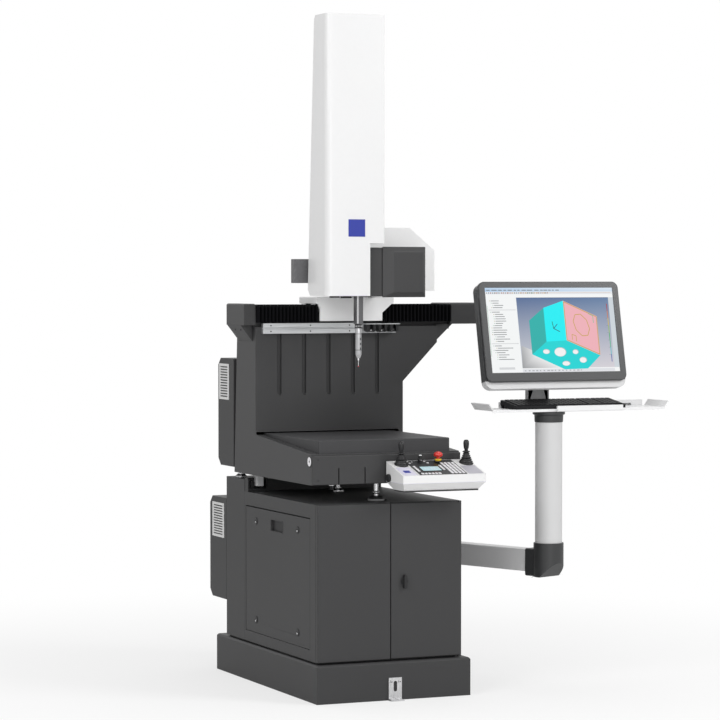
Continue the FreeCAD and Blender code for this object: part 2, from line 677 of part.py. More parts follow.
def drive_cover():
    x0 = BEAM_X[1]
    x1 = x0 + DRIVE_W
    z0, z1 = DRIVE_Z
    c = DRIVE_CUT
    core = box(x0, x1, DRIVE_Y[0], DRIVE_Y[1], z0, z1)
    left = prism_z([(x0 - 1, DRIVE_Y[0] - 1), (x0 + c, DRIVE_Y[0] - 1), (x0 - 1, DRIVE_Y[0] + c)],
                   z0 - 1, z1 + 1)
    low = prism_x([(DRIVE_Y[0] - 1, z0 - 1), (DRIVE_Y[0] + c, z0 - 1), (DRIVE_Y[0] - 1, z0 + c)],
                  x0 - 1, x1 + 1)
    high = prism_x([(DRIVE_Y[0] - 1, z1 + 1), (DRIVE_Y[0] + c, z1 + 1), (DRIVE_Y[0] - 1, z1 - c)],
                   x0 - 1, x1 + 1)
    right = prism_z([(x1 + 1, DRIVE_Y[0] - 1), (x1 + 1, DRIVE_Y[0] + 7), (x1 - 7, DRIVE_Y[0] - 1)],
                    z0 - 1, z1 + 1)
    save("drive_cover", cut(core, left, low, high, right))


def hood_block(t):
    x0, x1 = HOOD_X[0] + t, HOOD_X[1] - t
    y0, y1 = HOOD_Y[0] + t, HOOD_Y[1] - t
    z0, z1 = HOOD_Z[0] - (1 if t else 0), HOOD_Z[1] - t
    left = HOOD_LEFT_CUT
    wide, deep = HOOD_RIGHT_CUT
    front = [(x0, z0), (x1, z0), (x1, z1 - deep), (x1 - wide, z1), (x0 + left, z1), (x0, z1 - left)]
    taper_y, taper_x = HOOD_TAPER
    plan = [(x0, y0), (x1, y0), (x1, y1), (taper_x + t, y1), (x0, taper_y)]
    return prism_y(front, y0, y1).common(prism_z(plan, z0, z1))


def beam_hood():
    way = box(BEAM_X[0] - TOUCH, BEAM_X[1] + TOUCH, HOOD_Y[0] - 1, HOOD_Y[0] + HOOD_T + 1,
              HOOD_Z[0] - 1, BEAM_Z[1] + TOUCH)
    save("beam_hood", cut(hood_block(0), hood_block(HOOD_T), way))


def side_box():
    shape = box(YOKE_X0 - 69, YOKE_X0 + 18, YOKE_Y[1], YOKE_Y[1] + 34, 1460, 1547)
    edge = picked(shape, lambda a, b: near(a.y, YOKE_Y[1]) and near(b.y, YOKE_Y[1]))
    save("side_box", shape.makeChamfer(1.5, edge))


def column_cover():
    z0, z1 = COL_Z
    y0 = COL_Y0

    def rear(z):
        return y0 + COL_D_LOW + (COL_D_TOP - COL_D_LOW) * (z - z0) / (z1 - z0)

    side = [(y0, z0), (rear(z0) - 22, z0), (rear(z0 + 22), z0 + 22), (rear(z1 - 14), z1 - 14),
            (rear(z1) - 10, z1), (y0, z1)]
    plan = [(COL_X[1], y0), (COL_X[1], y0 + COL_D_LOW + 5), (COL_X[0], y0 + COL_D_LOW + 5),
            (COL_X[0], y0 + COL_SWEEP), (COL_CREASE_X, y0)]
    body = prism_z(plan, z0, z1)
    corner = [e for e in picked(body, upright)
              if near(e.Vertexes[0].Point.x, COL_X[0]) and e.Vertexes[0].Point.y < y0 + 20]
    body = body.makeFillet(COL_R, corner)
    corner = [e for e in picked(body, upright)
              if near(e.Vertexes[0].Point.x, COL_X[1]) and near(e.Vertexes[0].Point.y, y0)]
    body = body.makeFillet(5.0, corner)
    outer = body.common(prism_x(side, COL_X[0] - 1, COL_X[1] + 1))
    t = COL_T
    inner_side = [(y0 + t, z0 - 1), (rear(z0) - 22, z0 - 1), (rear(z0 + 22) - t, z0 + 24),
                  (rear(z1 - 14) - t, z1 - 16), (rear(z1) - 12, z1 - t), (y0 + t, z1 - t)]
    inner_plan = [(COL_X[1] - t, y0 + t), (COL_X[1] - t, y0 + COL_D_LOW),
                  (COL_X[0] + t, y0 + COL_D_LOW), (COL_X[0] + t, y0 + COL_SWEEP + t + COL_R / 2),
                  (COL_X[0] + t + COL_R / 2, y0 + COL_SWEEP + t), (COL_CREASE_X, y0 + t)]
    inner = prism_z(inner_plan, z0 - 1, z1 - t).common(
        prism_x(inner_side, COL_X[0], COL_X[1]))
    beam_way = box(BEAM_X[0] - 5, COL_X[1] + 1, y0 - 1, 0, z0 - 1, BEAM_Z[1] + 14)
    yoke_way = box(FRAME_X[0] - 2, BEAM_X[0], -120, 0, YOKE_Z0 - 4, BEAM_Z[1])
    save("column_cover", cut(outer, inner, beam_way, yoke_way))


def z_frame():
    top = COL_Z[1] - COL_T
    plate = box(FRAME_X[0], FRAME_X[1], FRAME_Y[0], FRAME_Y[1], BUSH_Z[0] - 7, top)
    foot = box(FRAME_X[0], FRAME_X[1], FRAME_Y[1] - 1, YOKE_Y[0], YOKE_Z0, BEAM_Z[1] - 12)
    corner = prism_x([(FRAME_Y[1] + 1, top + 1), (FRAME_Y[1] - 15, top + 1), (FRAME_Y[1] + 1, top - 24)],
                     FRAME_X[0] - 1, FRAME_X[1] + 1)
    windows = [box(*WINDOW_X, FRAME_Y[0] - 1, FRAME_Y[1] + 1, z, z + WINDOW_H) for z in WINDOW_Z]
    save("z_frame", cut(fuse(plate, foot), corner, *windows))


def ram_guides():
    half = RAM_W / 2 + SLIDE
    parts = []
    for z0 in BUSH_Z:
        bush = box(RAM_X - 26, RAM_X + 26, RAM_Y - 26, FRAME_Y[0], z0, z0 + BUSH_H)
        hole = box(RAM_X - half, RAM_X + half, RAM_Y - half, RAM_Y + half, z0 - 1, z0 + BUSH_H + 1)
        parts.append(bush.cut(hole))
    save("ram_guides", Part.makeCompound(parts))


def z_drive():
    x, z = MOTOR
    half = MOTOR_R + 4
    motor = rod(x, FRAME_Y[0], z, MOTOR_R, MOTOR_L, (0, -1, 0))
    flange = box(x - half, x + half, FRAME_Y[0] - 8, FRAME_Y[0], z - half, z + half)
    pulley = rod(x + PULLEY_OFF, FRAME_Y[0], z, PULLEY_R, MOTOR_L / 2, (0, -1, 0))
    save("z_drive", fuse(motor, flange, pulley))


def ram():
    w = RAM_W / 2
    c = RAM_CUT
    plan = [(-w + c, -w), (w - c, -w), (w, -w + c), (w, w - c), (w - c, w), (-w + c, w),
            (-w, w - c), (-w, -w + c)]
    plan = [(RAM_X + x, RAM_Y + y) for x, y in plan]
    save("ram", prism_z(plan, *RAM_Z))


def probe_head():
    z1 = RAM_Z[0]
    za = z1 - COLLAR_H
    profile = [(0, HEAD_Z0), (6, HEAD_Z0), (HEAD_R - 1, HEAD_Z0 + 12), (HEAD_R, HEAD_Z0 + 14),
               (HEAD_R, za - 3), (HEAD_R - 2, za - 2), (HEAD_R - 2, za), (COLLAR_R, za + 2),
               (COLLAR_R, z1 - 2), (COLLAR_R - 2, z1), (0, z1)]
    save("probe_head", turned(profile, RAM_X, RAM_Y))


def stylus():
    zb = STYLUS_Z0 + BALL_R
    shaft = [(0, zb), (1.1, zb), (1.1, HEAD_Z0 - 10), (3.5, HEAD_Z0 - 8), (3.5, HEAD_Z0),
             (0, HEAD_Z0)]
    shape = turned(shaft, RAM_X, RAM_Y)
    ball = Part.makeSphere(BALL_R, vec(RAM_X, RAM_Y, zb))
    save("stylus", fuse(shape, ball))


def stylus_rack():
    y0, y1 = RACK_Y
    z0, z1 = RACK_Z
    zm = (z0 + z1) / 2
    profile = [(y0, z0), (y1, z0), (y1, z1), (y0, z1), (y0, zm + 3), (y0 + 5, zm + 2),
               (y0 + 5, zm - 2), (y0, zm - 3)]
    rail = prism_x(profile, *RACK_X)
    plate = box(SHELF_X[0], SHELF_X[1], 54, y1, z1 - 6, z1 - 3)
    back = box(SHELF_X[0], SHELF_X[1], y1 - 8, y1, z0, z1 - 3)
    save("stylus_rack_rail", Part.makeCompound([rail, fuse(plate, back)]))
    holders = []
    pitch = (SHELF_X[1] - SHELF_X[0]) / HOLDERS
    for i in range(HOLDERS):
        xm = SHELF_X[0] + pitch * (i + 0.5)
        body = box(xm - 17, xm + 17, 56, y1 - 8, z0 + 4, z1 - 6)
        body = body.makeChamfer(5.0, picked(body, lambda a, b: near(a.z, z0 + 4) and near(b.z, z0 + 4)))
        mouth = fuse(box(xm - 7, xm + 7, 55, 70, z0, z1), rod(xm, 70, z0, 7, z1 - z0, (0, 0, 1)))
        holders.append(body.cut(mouth))
    save("stylus_rack_holders", Part.makeCompound(holders))


# ---------------------------------------------------------------- console
def con_top(y):
    share = (y - CON_Y[0]) / (CON_Y[1] - CON_Y[0])
    return CON_TOP[0] + (CON_TOP[1] - CON_TOP[0]) * share


def console_bracket():
    plate = box(CON_X[0] + 2, CON_X[1] - 2, COVER_Y - 8, COVER_Y, CON_MID + 2, CON_TOP[1] - 4)
    arm = prism_x([(COVER_Y - 6, CON_MID + 10), (COVER_Y, CON_MID + 10), (COVER_Y, CON_LOW + 22),
                   (COVER_Y - 6, CON_LOW + 22)], CON_X[0] + 30, CON_X[1] - 60)
    save("console_bracket", fuse(plate, arm))


def quad(x0, x1, y0, y1, z):
    return Part.makePolygon([vec(x0, y0, z), vec(x1, y0, z), vec(x1, y1, z), vec(x0, y1, z),
                             vec(x0, y0, z)])


def console_housing():
    x0, x1 = CON_X
    y0, y1 = CON_Y
    upper = prism_x([(y0, CON_MID), (y1, CON_MID), (y1, CON_TOP[1]), (y0, CON_TOP[0])], x0, x1)
    lower = Part.makeLoft([quad(x0 + 17, x1 - 17, y0 + 30, y1 - 30, CON_LOW),
                           quad(x0, x1, y0, y1, CON_MID)], True, True)
    shape = fuse(upper, lower)
    corner = [e for e in picked(shape, upright) if e.BoundBox.ZMax > CON_MID + 1]
    shape = shape.makeFillet(4.0, corner)
    inner = prism_x([(y0 + 4, CON_MID), (y1 - 4, CON_MID), (y1 - 4, CON_TOP[1] - 6),
                     (y0 + 4, CON_TOP[0] - 5)], x0 + 4, x1 - 4)
    shape = cut(shape, inner)
    for x, y in STICKS:
        z = con_top(y) - PIVOT_DROP
        well = box(x - WELL, x + WELL, y - WELL, y + WELL, CON_MID + 1, CON_TOP[1] + 20)
        ears = box(x - 5, x + 5, y - WELL + 1, y + WELL - 1, CON_MID - 1, z + 4)
        slot = box(x - 6, x + 6, y - EAR_GAP, y + EAR_GAP, z - 14, z + 5)
        bore = rod(x, y - WELL, z, CROSS_R + RUN, 2 * WELL, (0, 1, 0))
        shape = fuse(cut(shape, well), cut(ears, slot, bore))
    shape = shape.cut(rod(STOP_XY[0], STOP_XY[1], CON_MID, 6 + RUN, 80, (0, 0, 1)))
    shape = shape.cut(rod(KEY_XY[0], KEY_XY[1], CON_MID, 5 + RUN, 80, (0, 0, 1)))
    shape = shape.cut(rod(x0 - 1, KNOB_YZ[0], KNOB_YZ[1], 4 + RUN, 8, (1, 0, 0)))
    save("console_housing", shape)


def slab(x0, x1, y0, y1, low, high):
    return prism_x([(y0, con_top(y0) + low), (y1, con_top(y1) + low), (y1, con_top(y1) + high),
                    (y0, con_top(y0) + high)], x0, x1)


def console_face():
    face = slab(*FACE_X, *FACE_Y, 0, 1.6)
    face = face.cut(rod(STOP_XY[0], STOP_XY[1], CON_MID, 6 + RUN, 90, (0, 0, 1)))
    face = face.cut(rod(KEY_XY[0], KEY_XY[1], CON_MID, 5 + RUN, 90, (0, 0, 1)))
    save("console_face", face)


def joystick(side, x, y):
    z = con_top(y)
    p = z - PIVOT_DROP
    near_x, far_x = CHEEK
    top = z + SHANK_H
    stick = turned([(0, top), (5, top), (5, z + 30), (6.5, z + 36), (6.5, z + 48), (8.5, z + 52),
                    (8.5, z + 72), (6.5, z + 79), (3, z + STICK_H), (0, z + STICK_H)], x, y)
    save("joystick_" + side, stick)
    yoke = box(x - far_x, x + far_x, y - 4, y + 4, p - 4, p + 12)
    gap = box(x - near_x, x + near_x, y - 5, y + 5, p - 5, p + 8)
    bore = rod(x - far_x - 1, y, p, CROSS_R + RUN, 2 * far_x + 2, (1, 0, 0))
    shank = rod(x, y, p + 9, 5, top - p - 9, (0, 0, 1))
    save("stick_fork_" + side, fuse(cut(yoke, gap, bore), shank))


def gimbal(side, x, y):
    p = con_top(y) - PIVOT_DROP
    h = HUB_HALF
    hub = box(x - h, x + h, y - h, y + h, p - 4, p + 4)
    side_pin = rod(x, y - WELL + 1, p, CROSS_R, 2 * WELL - 2, (0, 1, 0))
    fore_pin = rod(x - CHEEK[1], y, p, CROSS_R, 2 * CHEEK[1], (1, 0, 0))
    save("gimbal_" + side, fuse(hub, side_pin, fore_pin))


def boot_ring(x, y):
    z = con_top(y)
    rings = [(21.5, -8.0), (21.5, 10), (20, 13), (21, 17), (18, 20), (19, 24), (14, 27), (15, 31),
             (11, 35), (9.5, 37)]
    outer = [(r, z + h) for r, h in rings]
    inner = [(r - 2.0, z + h) for r, h in reversed(rings)]
    return turned(outer + inner, x, y)


def joystick_boots():
    boots = []
    for x, y in STICKS:
        below = prism_x([(CON_Y[0] - 5, CON_MID - 40), (CON_Y[1] + 30, CON_MID - 40),
                         (CON_Y[1] + 30, con_top(CON_Y[1] + 30)),
                         (CON_Y[0] - 5, con_top(CON_Y[0] - 5))], CON_X[0] - 40, CON_X[1] + 40)
        boots.append(boot_ring(x, y).cut(below))
    save("joystick_boots", Part.makeCompound(boots))


def console_controls():
    x, y = STOP_XY
    z = con_top(y) + 1.6
    cap = [(0, z - 24), (6, z - 24), (6, z + 17), (13, z + 19), (16, z + 23), (16, z + 28),
           (12, z + 34), (5, z + 37), (0, z + 37.5)]
    save("stop_button", turned(cap, x, y))
    x, y = KEY_XY
    z = con_top(y) + 1.6
    knob = [(0, z - 20), (5, z - 20), (5, z + 3), (9, z + 3), (9, z + 9), (6, z + 11),
            (6, z + 24), (5, z + 25), (0, z + 25)]
    save("mode_switch", turned(knob, x, y))
    y, z = KNOB_YZ
    x0 = CON_X[0]
    shaft = rod(x0 + 6, y, z, 4, 6 + TOUCH, (-1, 0, 0))
    disc = rod(x0 - TOUCH, y, z, 13.5, 9, (-1, 0, 0))
    save("side_knob", fuse(shaft, disc))


# ---------------------------------------------------------------- screen arm
def place_arm(shape):
    shape.rotate(vec(0, 0, 0), vec(0, 0, 1), ARM_TURN)
    shape.translate(vec(PIVOT[0], PIVOT[1], 0))
    return shape


def arm_bracket():
    x, y = PIVOT
    plates = []
    for z0 in (ARM_Z[0] - 14 - SLIDE, ARM_Z[1] + SLIDE):
        plate = fuse(box(CAB_X1, x, y - 34, REAR_Y1 - 4, z0, z0 + 14), rod(x, y, z0, 30, 14, (0, 0, 1)))
        plates.append(plate)
    back = box(CAB_X1, CAB_X1 + 14, y - 34, REAR_Y1 - 4, ARM_Z[0] - 40, ARM_Z[1] + 40)
    pin = rod(x, y, ARM_Z[0] - 20, PIN_R, ARM_Z[1] - ARM_Z[0] + 40, (0, 0, 1))
    save("arm_bracket", fuse(back, plates[0], plates[1], pin))


def swing_arm():
    half = ARM_W / 2
    z0, z1 = ARM_Z
    tube = fuse(box(-half, half, -ARM_L + ELBOW_R + 2, 0, z0, z1), rod(0, 0, z0, half, z1 - z0, (0, 0, 1)))
    bore = rod(0, 0, z0 - 1, PIN_R + RUN, z1 - z0 + 2, (0, 0, 1))
    hollow = box(-half + 5, half - 5, -ARM_L + ELBOW_R, -60, z0 + 5, z1 - 5)
    save("swing_arm", place_arm(cut(tube, bore, hollow)))


def arm_elbow():
    z0 = ARM_Z[0] - 15
    z1 = ARM_Z[1] + 5
    body = rod(0, -ARM_L, z0, ELBOW_R, ELBOW_TOP - z0, (0, 0, 1))
    half = ARM_W / 2
    sock = box(-half - 8, half + 8, -ARM_L, -ARM_L + ELBOW_R + 26, z0, z1)
    sock = sock.makeFillet(8.0, picked(sock, lambda a, b: near(a.x, b.x) and near(a.z, b.z)))
    body = fuse(body, sock)
    seat = box(-half - 0.1, half + 0.1, -ARM_L + ELBOW_R + 2, -ARM_L + 90, ARM_Z[0] - 0.1, ARM_Z[1] + 0.1)
    y = -ARM_L - ELBOW_R
    slope = prism_x([(y - 2, z0 - 1), (y + 52, z0 - 1), (y - 2, z0 + 55)], -80, 80)
    bore = rod(0, -ARM_L, POLE_Z[0], POLE_R + RUN, 100, (0, 0, 1))
    save("arm_elbow", place_arm(cut(body, seat, slope, bore)))


def pole():
    tube = rod(POLE[0], POLE[1], POLE_Z[0], POLE_R, POLE_Z[1] - POLE_Z[0], (0, 0, 1))
    hollow = rod(POLE[0], POLE[1], POLE_Z[0] + 20, POLE_R - 4, POLE_Z[1], (0, 0, 1))
    save("pole", cut(tube, hollow))
    z0, z1 = COLLAR_Z
    r = POLE_R + RUN
    collar = [(r, z0), (51.5, z0), (52.5, z1 - 14), (58.5, z1 - 12), (58.5, z1 - 3),
              (57.5, z1 - 2), (HUB_R, z1 - 2), (HUB_R, z1), (16, z1), (16, z1 + 3.5),
              (0, z1 + 3.5), (0, POLE_Z[1]), (r, POLE_Z[1])]
    save("pole_collar", turned(collar, *POLE))


def keyboard_tray():
    x0, x1 = TRAY_X
    y0, y1 = TRAY_Y
    z, t = TRAY_Z, TRAY_T
    profile = [(x0, z), (x1, z), (x1 + 16, z + 24), (x1 + 13, z + 26), (x1 - 2, z + t),
               (x0 + 2, z + t), (x0 - 13, z + 26), (x0 - 16, z + 24)]
    plate = prism_y(profile, y0, y1)
    lip = box(x0, x1, y0, y0 + 3, z - TRAY_LIP, z + 1)
    rim = box(x0 + 150, x1 - 60, y1 - 3, y1, z, z + 13)
    rest = box(POLE[0] + REST_X[0], POLE[0] + REST_X[1], y0 - REST_D, y0 + 0.5, z - TRAY_LIP, z + REST_H)
    rest = rest.makeFillet(4.0, picked(rest, lambda a, b: near(a.y, y0 - REST_D) and near(b.y, y0 - REST_D)))
    hub = rod(POLE[0], POLE[1], COLLAR_Z[1] + TOUCH, HUB_R, z - COLLAR_Z[1] - TOUCH + 1, (0, 0, 1))
    shape = fuse(plate, lip, rim, hub, rest)
    bore = rod(POLE[0], POLE[1], COLLAR_Z[1] - 1, 16 + RUN, 5, (0, 0, 1))
    save("keyboard_tray", cut(shape, bore))


def keyboard():
    z = TRAY_Z + TRAY_T
    y0, y1 = KEYB_Y
    profile = [(y0, z), (y0 + 60, z), (y1 - 14, z + 12), (y1 - 14, z), (y1 - 6, z), (y1, z + 14),
               (y1, z + 28), (y1 - 8, z + 30), (y0 + 3, z + 13), (y0, z + 10)]
    shape = prism_x(profile, *KEYB_X)
    save("keyboard", shape)


def tilt_point(u, back, up):
    a = math.radians(MON_TILT)
    y = MON_BASE[1] + up * math.sin(a) + back * math.cos(a)
    z = MON_BASE[2] + up * math.cos(a) - back * math.sin(a)
    return vec(MON_BASE[0] + u, y, z)


def tilt_slab(u0, u1, b0, b1, v0, v1, r):
    shape = box(u0, u1, b0, b1, v0, v1)
    if r:
        shape = shape.makeFillet(r, picked(shape, lambda a, b: near(a.x, b.x) and near(a.z, b.z)))
    shape.rotate(vec(0, 0, 0), vec(1, 0, 0), -MON_TILT)
    shape.translate(vec(*MON_BASE))
    return shape


def monitor():
    w = BEZEL_W / 2
    s = SCREEN_W / 2
    v0 = RIM_TOP
    bezel = tilt_slab(-w, w, 0, BEZEL_T, 0, BEZEL_H, BEZEL_R)
    window = tilt_slab(-s, s, -1, BEZEL_T + 1, v0, v0 + SCREEN_H, 0)
    save("monitor_bezel", cut(bezel, window))
    save("screen_panel", tilt_slab(-s + 0.2, s - 0.2, 3, BEZEL_T, v0 + 0.2, v0 + SCREEN_H - 0.2, 0))
    shell = tilt_slab(-w, w, BEZEL_T, BEZEL_T + SHELL_T, -SHELL_DROP, BEZEL_H - 3, 30)
    bulge = tilt_slab(-170, 170, BEZEL_T + SHELL_T - 1, BEZEL_T + SHELL_T + 16, 60, BEZEL_H - 65, 20)
    shape = fuse(shell, bulge)
    ya, za = TILT_AXIS
    back = tilt_point(0, BEZEL_T + SHELL_T, BEZEL_H * 0.42)
    for x in (MON_BASE[0] - 46, MON_BASE[0] + 31):
        ear = prism_x([(back.y, back.z - 30), (ya, za - 15), (ya, za + 15), (back.y, back.z + 38)],
                      x, x + 15)
        shape = fuse(shape, ear, rod(x, ya, za, 15, 15, (1, 0, 0)))
    pin = rod(MON_BASE[0] - 46, ya, za, TILT_R, 92, (1, 0, 0))
    save("monitor_shell", fuse(shape, pin))


def monitor_neck():
    x0, x1 = MON_BASE[0] - 47, MON_BASE[0] + 47
    z = TRAY_Z + TRAY_T
    ya, za = TILT_AXIS
    post = box(x0, x1, POST_Y[0], POST_Y[1], z, za + 10)
    post = post.makeFillet(6.0, picked(post, upright))
    half = 31 - TOUCH
    web = box(MON_BASE[0] - half, MON_BASE[0] + half, ya, POST_Y[0] + 8, za - 12, za + 8)
    barrel = rod(MON_BASE[0] - half, ya, za, 15, 2 * half, (1, 0, 0))
    shape = fuse(post, web, barrel)
    save("monitor_neck", cut(shape, rod(MON_BASE[0] - 40, ya, za, TILT_R + RUN, 80, (1, 0, 0))))


plinth()
floor_bracket()
cabinet_frame()
cabinet_front_panel()
door()
door_handle()
side_panel()
panel_locks()
rear_column()
vent_boxes()
vent_grilles()
support_feet()
machine_casting()
front_cover()
table_plate()
x_guide()
end_caps()
bellows("bellows_left", GUIDE_X0, APRON_X[0])
bellows("bellows_right", APRON_X[1], GUIDE_X1)
x_carriage()
guide_blocks()
y_beam()
drive_cover()
beam_hood()
side_box()
column_cover()
z_frame()
ram_guides()
z_drive()
ram()
probe_head()
stylus()
stylus_rack()
console_bracket()
console_housing()
console_face()
for side, (sx, sy) in zip(("left", "right"), STICKS):
    gimbal(side, sx, sy)
    joystick(side, sx, sy)
joystick_boots()
console_controls()
arm_bracket()
swing_arm()
arm_elbow()
pole()
keyboard_tray()
keyboard()
monitor()
monitor_neck()
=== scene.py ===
import math
import random
import bmesh
import bpy
from mathutils import Euler, Matrix, Vector


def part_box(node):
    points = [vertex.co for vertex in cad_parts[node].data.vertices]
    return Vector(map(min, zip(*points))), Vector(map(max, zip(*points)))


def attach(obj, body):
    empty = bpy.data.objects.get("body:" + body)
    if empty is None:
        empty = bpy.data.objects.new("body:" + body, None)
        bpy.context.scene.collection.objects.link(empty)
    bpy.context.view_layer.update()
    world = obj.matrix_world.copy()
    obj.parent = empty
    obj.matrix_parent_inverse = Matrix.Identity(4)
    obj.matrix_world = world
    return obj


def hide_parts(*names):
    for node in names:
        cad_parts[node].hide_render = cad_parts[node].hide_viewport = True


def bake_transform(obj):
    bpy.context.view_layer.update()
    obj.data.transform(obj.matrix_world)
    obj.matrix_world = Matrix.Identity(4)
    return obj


# Coordinate measuring machine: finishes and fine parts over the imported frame. Metres, front towards -Y.

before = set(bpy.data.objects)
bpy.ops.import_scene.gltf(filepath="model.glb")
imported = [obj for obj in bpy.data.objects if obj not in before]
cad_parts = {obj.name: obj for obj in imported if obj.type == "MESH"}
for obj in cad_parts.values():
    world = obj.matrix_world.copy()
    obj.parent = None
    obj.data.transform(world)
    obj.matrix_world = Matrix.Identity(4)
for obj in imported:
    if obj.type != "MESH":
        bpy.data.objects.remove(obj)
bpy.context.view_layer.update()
MM = 0.001
FLOOR_WHITE = 0.62
SCREEN_TILT = math.radians(12.2)
FAR_FRONT = -5.0


# ---------------------------------------------------------------- shader groups
def group_shell(name, sockets_in, sockets_out):
    tree = bpy.data.node_groups.new(name, "ShaderNodeTree")
    for label, kind, value in sockets_in:
        socket = tree.interface.new_socket(name=label, in_out="INPUT", socket_type=kind)
        if value is not None:
            socket.default_value = value
    for label, kind in sockets_out:
        tree.interface.new_socket(name=label, in_out="OUTPUT", socket_type=kind)
    inner = tree.nodes.new("NodeGroupInput")
    outer = tree.nodes.new("NodeGroupOutput")
    return tree, inner, outer


def add(tree, kind, **settings):
    node = tree.nodes.new(kind)
    for key, value in settings.items():
        setattr(node, key, value)
    return node


def feed(node, values):
    """Sets inputs of a node by their names or numbers."""
    for key, value in values.items():
        node.inputs[key].default_value = value


def wire(tree, *pairs):
    """Joins outputs to inputs, pair by pair."""
    for source, target in pairs:
        tree.links.new(source, target)


def fine_relief():
    """Grain of textured paint or moulded plastic: a height and a faint speck."""
    tree, inner, outer = group_shell(
        "fine_relief",
        [("Place", "NodeSocketVector", None), ("Grains per metre", "NodeSocketFloat", 700.0),
         ("Pits", "NodeSocketFloat", 0.3)],
        [("Height", "NodeSocketFloat"), ("Speck", "NodeSocketFloat")])
    grain = add(tree, "ShaderNodeTexNoise")
    feed(grain, {"Detail": 3.0})
    pits = add(tree, "ShaderNodeTexVoronoi")
    mix = add(tree, "ShaderNodeMix")
    for texture in (grain, pits):
        wire(tree, (inner.outputs["Place"], texture.inputs["Vector"]),
             (inner.outputs["Grains per metre"], texture.inputs["Scale"]))
    wire(tree, (inner.outputs["Pits"], mix.inputs["Factor"]), (grain.outputs["Fac"], mix.inputs["A"]),
         (pits.outputs["Distance"], mix.inputs["B"]), (mix.outputs["Result"], outer.inputs["Height"]),
         (pits.outputs["Distance"], outer.inputs["Speck"]))
    return tree


def handled_tone():
    """Slow variation of tone and gloss, as on a painted panel that is wiped by hand."""
    tree, inner, outer = group_shell(
        "handled_tone",
        [("Place", "NodeSocketVector", None), ("Colour", "NodeSocketColor", (0.5, 0.5, 0.5, 1)),
         ("Speck", "NodeSocketFloat", 0.5), ("Strength", "NodeSocketFloat", 0.08),
         ("Roughness", "NodeSocketFloat", 0.5)],
        [("Colour", "NodeSocketColor"), ("Roughness", "NodeSocketFloat")])
    cloud = add(tree, "ShaderNodeTexNoise")
    feed(cloud, {"Scale": 2.6, "Detail": 5.0})
    both = add(tree, "ShaderNodeMath", operation="ADD")
    centre = add(tree, "ShaderNodeMath", operation="SUBTRACT")
    feed(centre, {1: 1.0})
    swing = add(tree, "ShaderNodeMath", operation="MULTIPLY_ADD")
    feed(swing, {2: 1.0})
    tint = add(tree, "ShaderNodeVectorMath", operation="SCALE")
    rough = add(tree, "ShaderNodeMath", operation="MULTIPLY")
    wire(tree, (inner.outputs["Place"], cloud.inputs["Vector"]), (cloud.outputs["Fac"], both.inputs[0]),
         (inner.outputs["Speck"], both.inputs[1]), (both.outputs[0], centre.inputs[0]),
         (centre.outputs[0], swing.inputs[0]), (inner.outputs["Strength"], swing.inputs[1]),
         (inner.outputs["Colour"], tint.inputs[0]), (swing.outputs[0], tint.inputs["Scale"]),
         (inner.outputs["Roughness"], rough.inputs[0]), (swing.outputs[0], rough.inputs[1]),
         (tint.outputs[0], outer.inputs["Colour"]), (rough.outputs[0], outer.inputs["Roughness"]))
    return tree


def drawn_grain():
    """Long fine scratches of ground or drawn metal along one direction."""
    tree, inner, outer = group_shell(
        "drawn_grain",
        [("Place", "NodeSocketVector", None), ("Stretch", "NodeSocketVector", (900.0, 900.0, 12.0))],
        [("Height", "NodeSocketFloat"), ("Streak", "NodeSocketFloat")])
    scale = add(tree, "ShaderNodeVectorMath", operation="MULTIPLY")
    noise = add(tree, "ShaderNodeTexNoise")
    feed(noise, {"Scale": 1.0, "Detail": 4.0})
    wire(tree, (inner.outputs["Place"], scale.inputs[0]), (inner.outputs["Stretch"], scale.inputs[1]),
         (scale.outputs[0], noise.inputs["Vector"]), (noise.outputs["Fac"], outer.inputs["Height"]),
         (noise.outputs["Fac"], outer.inputs["Streak"]))
    return tree


GRAIN_DEPTH = 0.00004
RELIEF = fine_relief()
TONE = handled_tone()
DRAWN = drawn_grain()


def blank_material(name):
    material = bpy.data.materials.new(name)
    material.use_nodes = True
    tree = material.node_tree
    tree.nodes.clear()
    out = tree.nodes.new("ShaderNodeOutputMaterial")
    skin = tree.nodes.new("ShaderNodeBsdfPrincipled")
    place = tree.nodes.new("ShaderNodeTexCoord")
    wire(tree, (skin.outputs[0], out.inputs["Surface"]))
    return material, tree, skin, place.outputs["Object"]


def moulded(name, colour, roughness, grains, pits, bump, tone, coat=0.0, specular=0.5):
    """Paint or plastic with its grain, its slow change of tone and its gloss."""
    material, tree, skin, place = blank_material(name)
    relief = add(tree, "ShaderNodeGroup", node_tree=RELIEF)
    feed(relief, {"Grains per metre": grains, "Pits": pits})
    shade = add(tree, "ShaderNodeGroup", node_tree=TONE)
    feed(shade, {"Colour": (*colour, 1), "Strength": tone, "Roughness": roughness})
    raised = add(tree, "ShaderNodeBump")
    feed(raised, {"Strength": bump, "Distance": GRAIN_DEPTH})
    wire(tree, (place, relief.inputs["Place"]), (place, shade.inputs["Place"]),
         (relief.outputs["Speck"], shade.inputs["Speck"]),
         (relief.outputs["Height"], raised.inputs["Height"]),
         (shade.outputs["Colour"], skin.inputs["Base Color"]),
         (shade.outputs["Roughness"], skin.inputs["Roughness"]),
         (raised.outputs["Normal"], skin.inputs["Normal"]))
    feed(skin, {"Coat Weight": coat, "Coat Roughness": 0.08, "Specular IOR Level": specular})
    return material


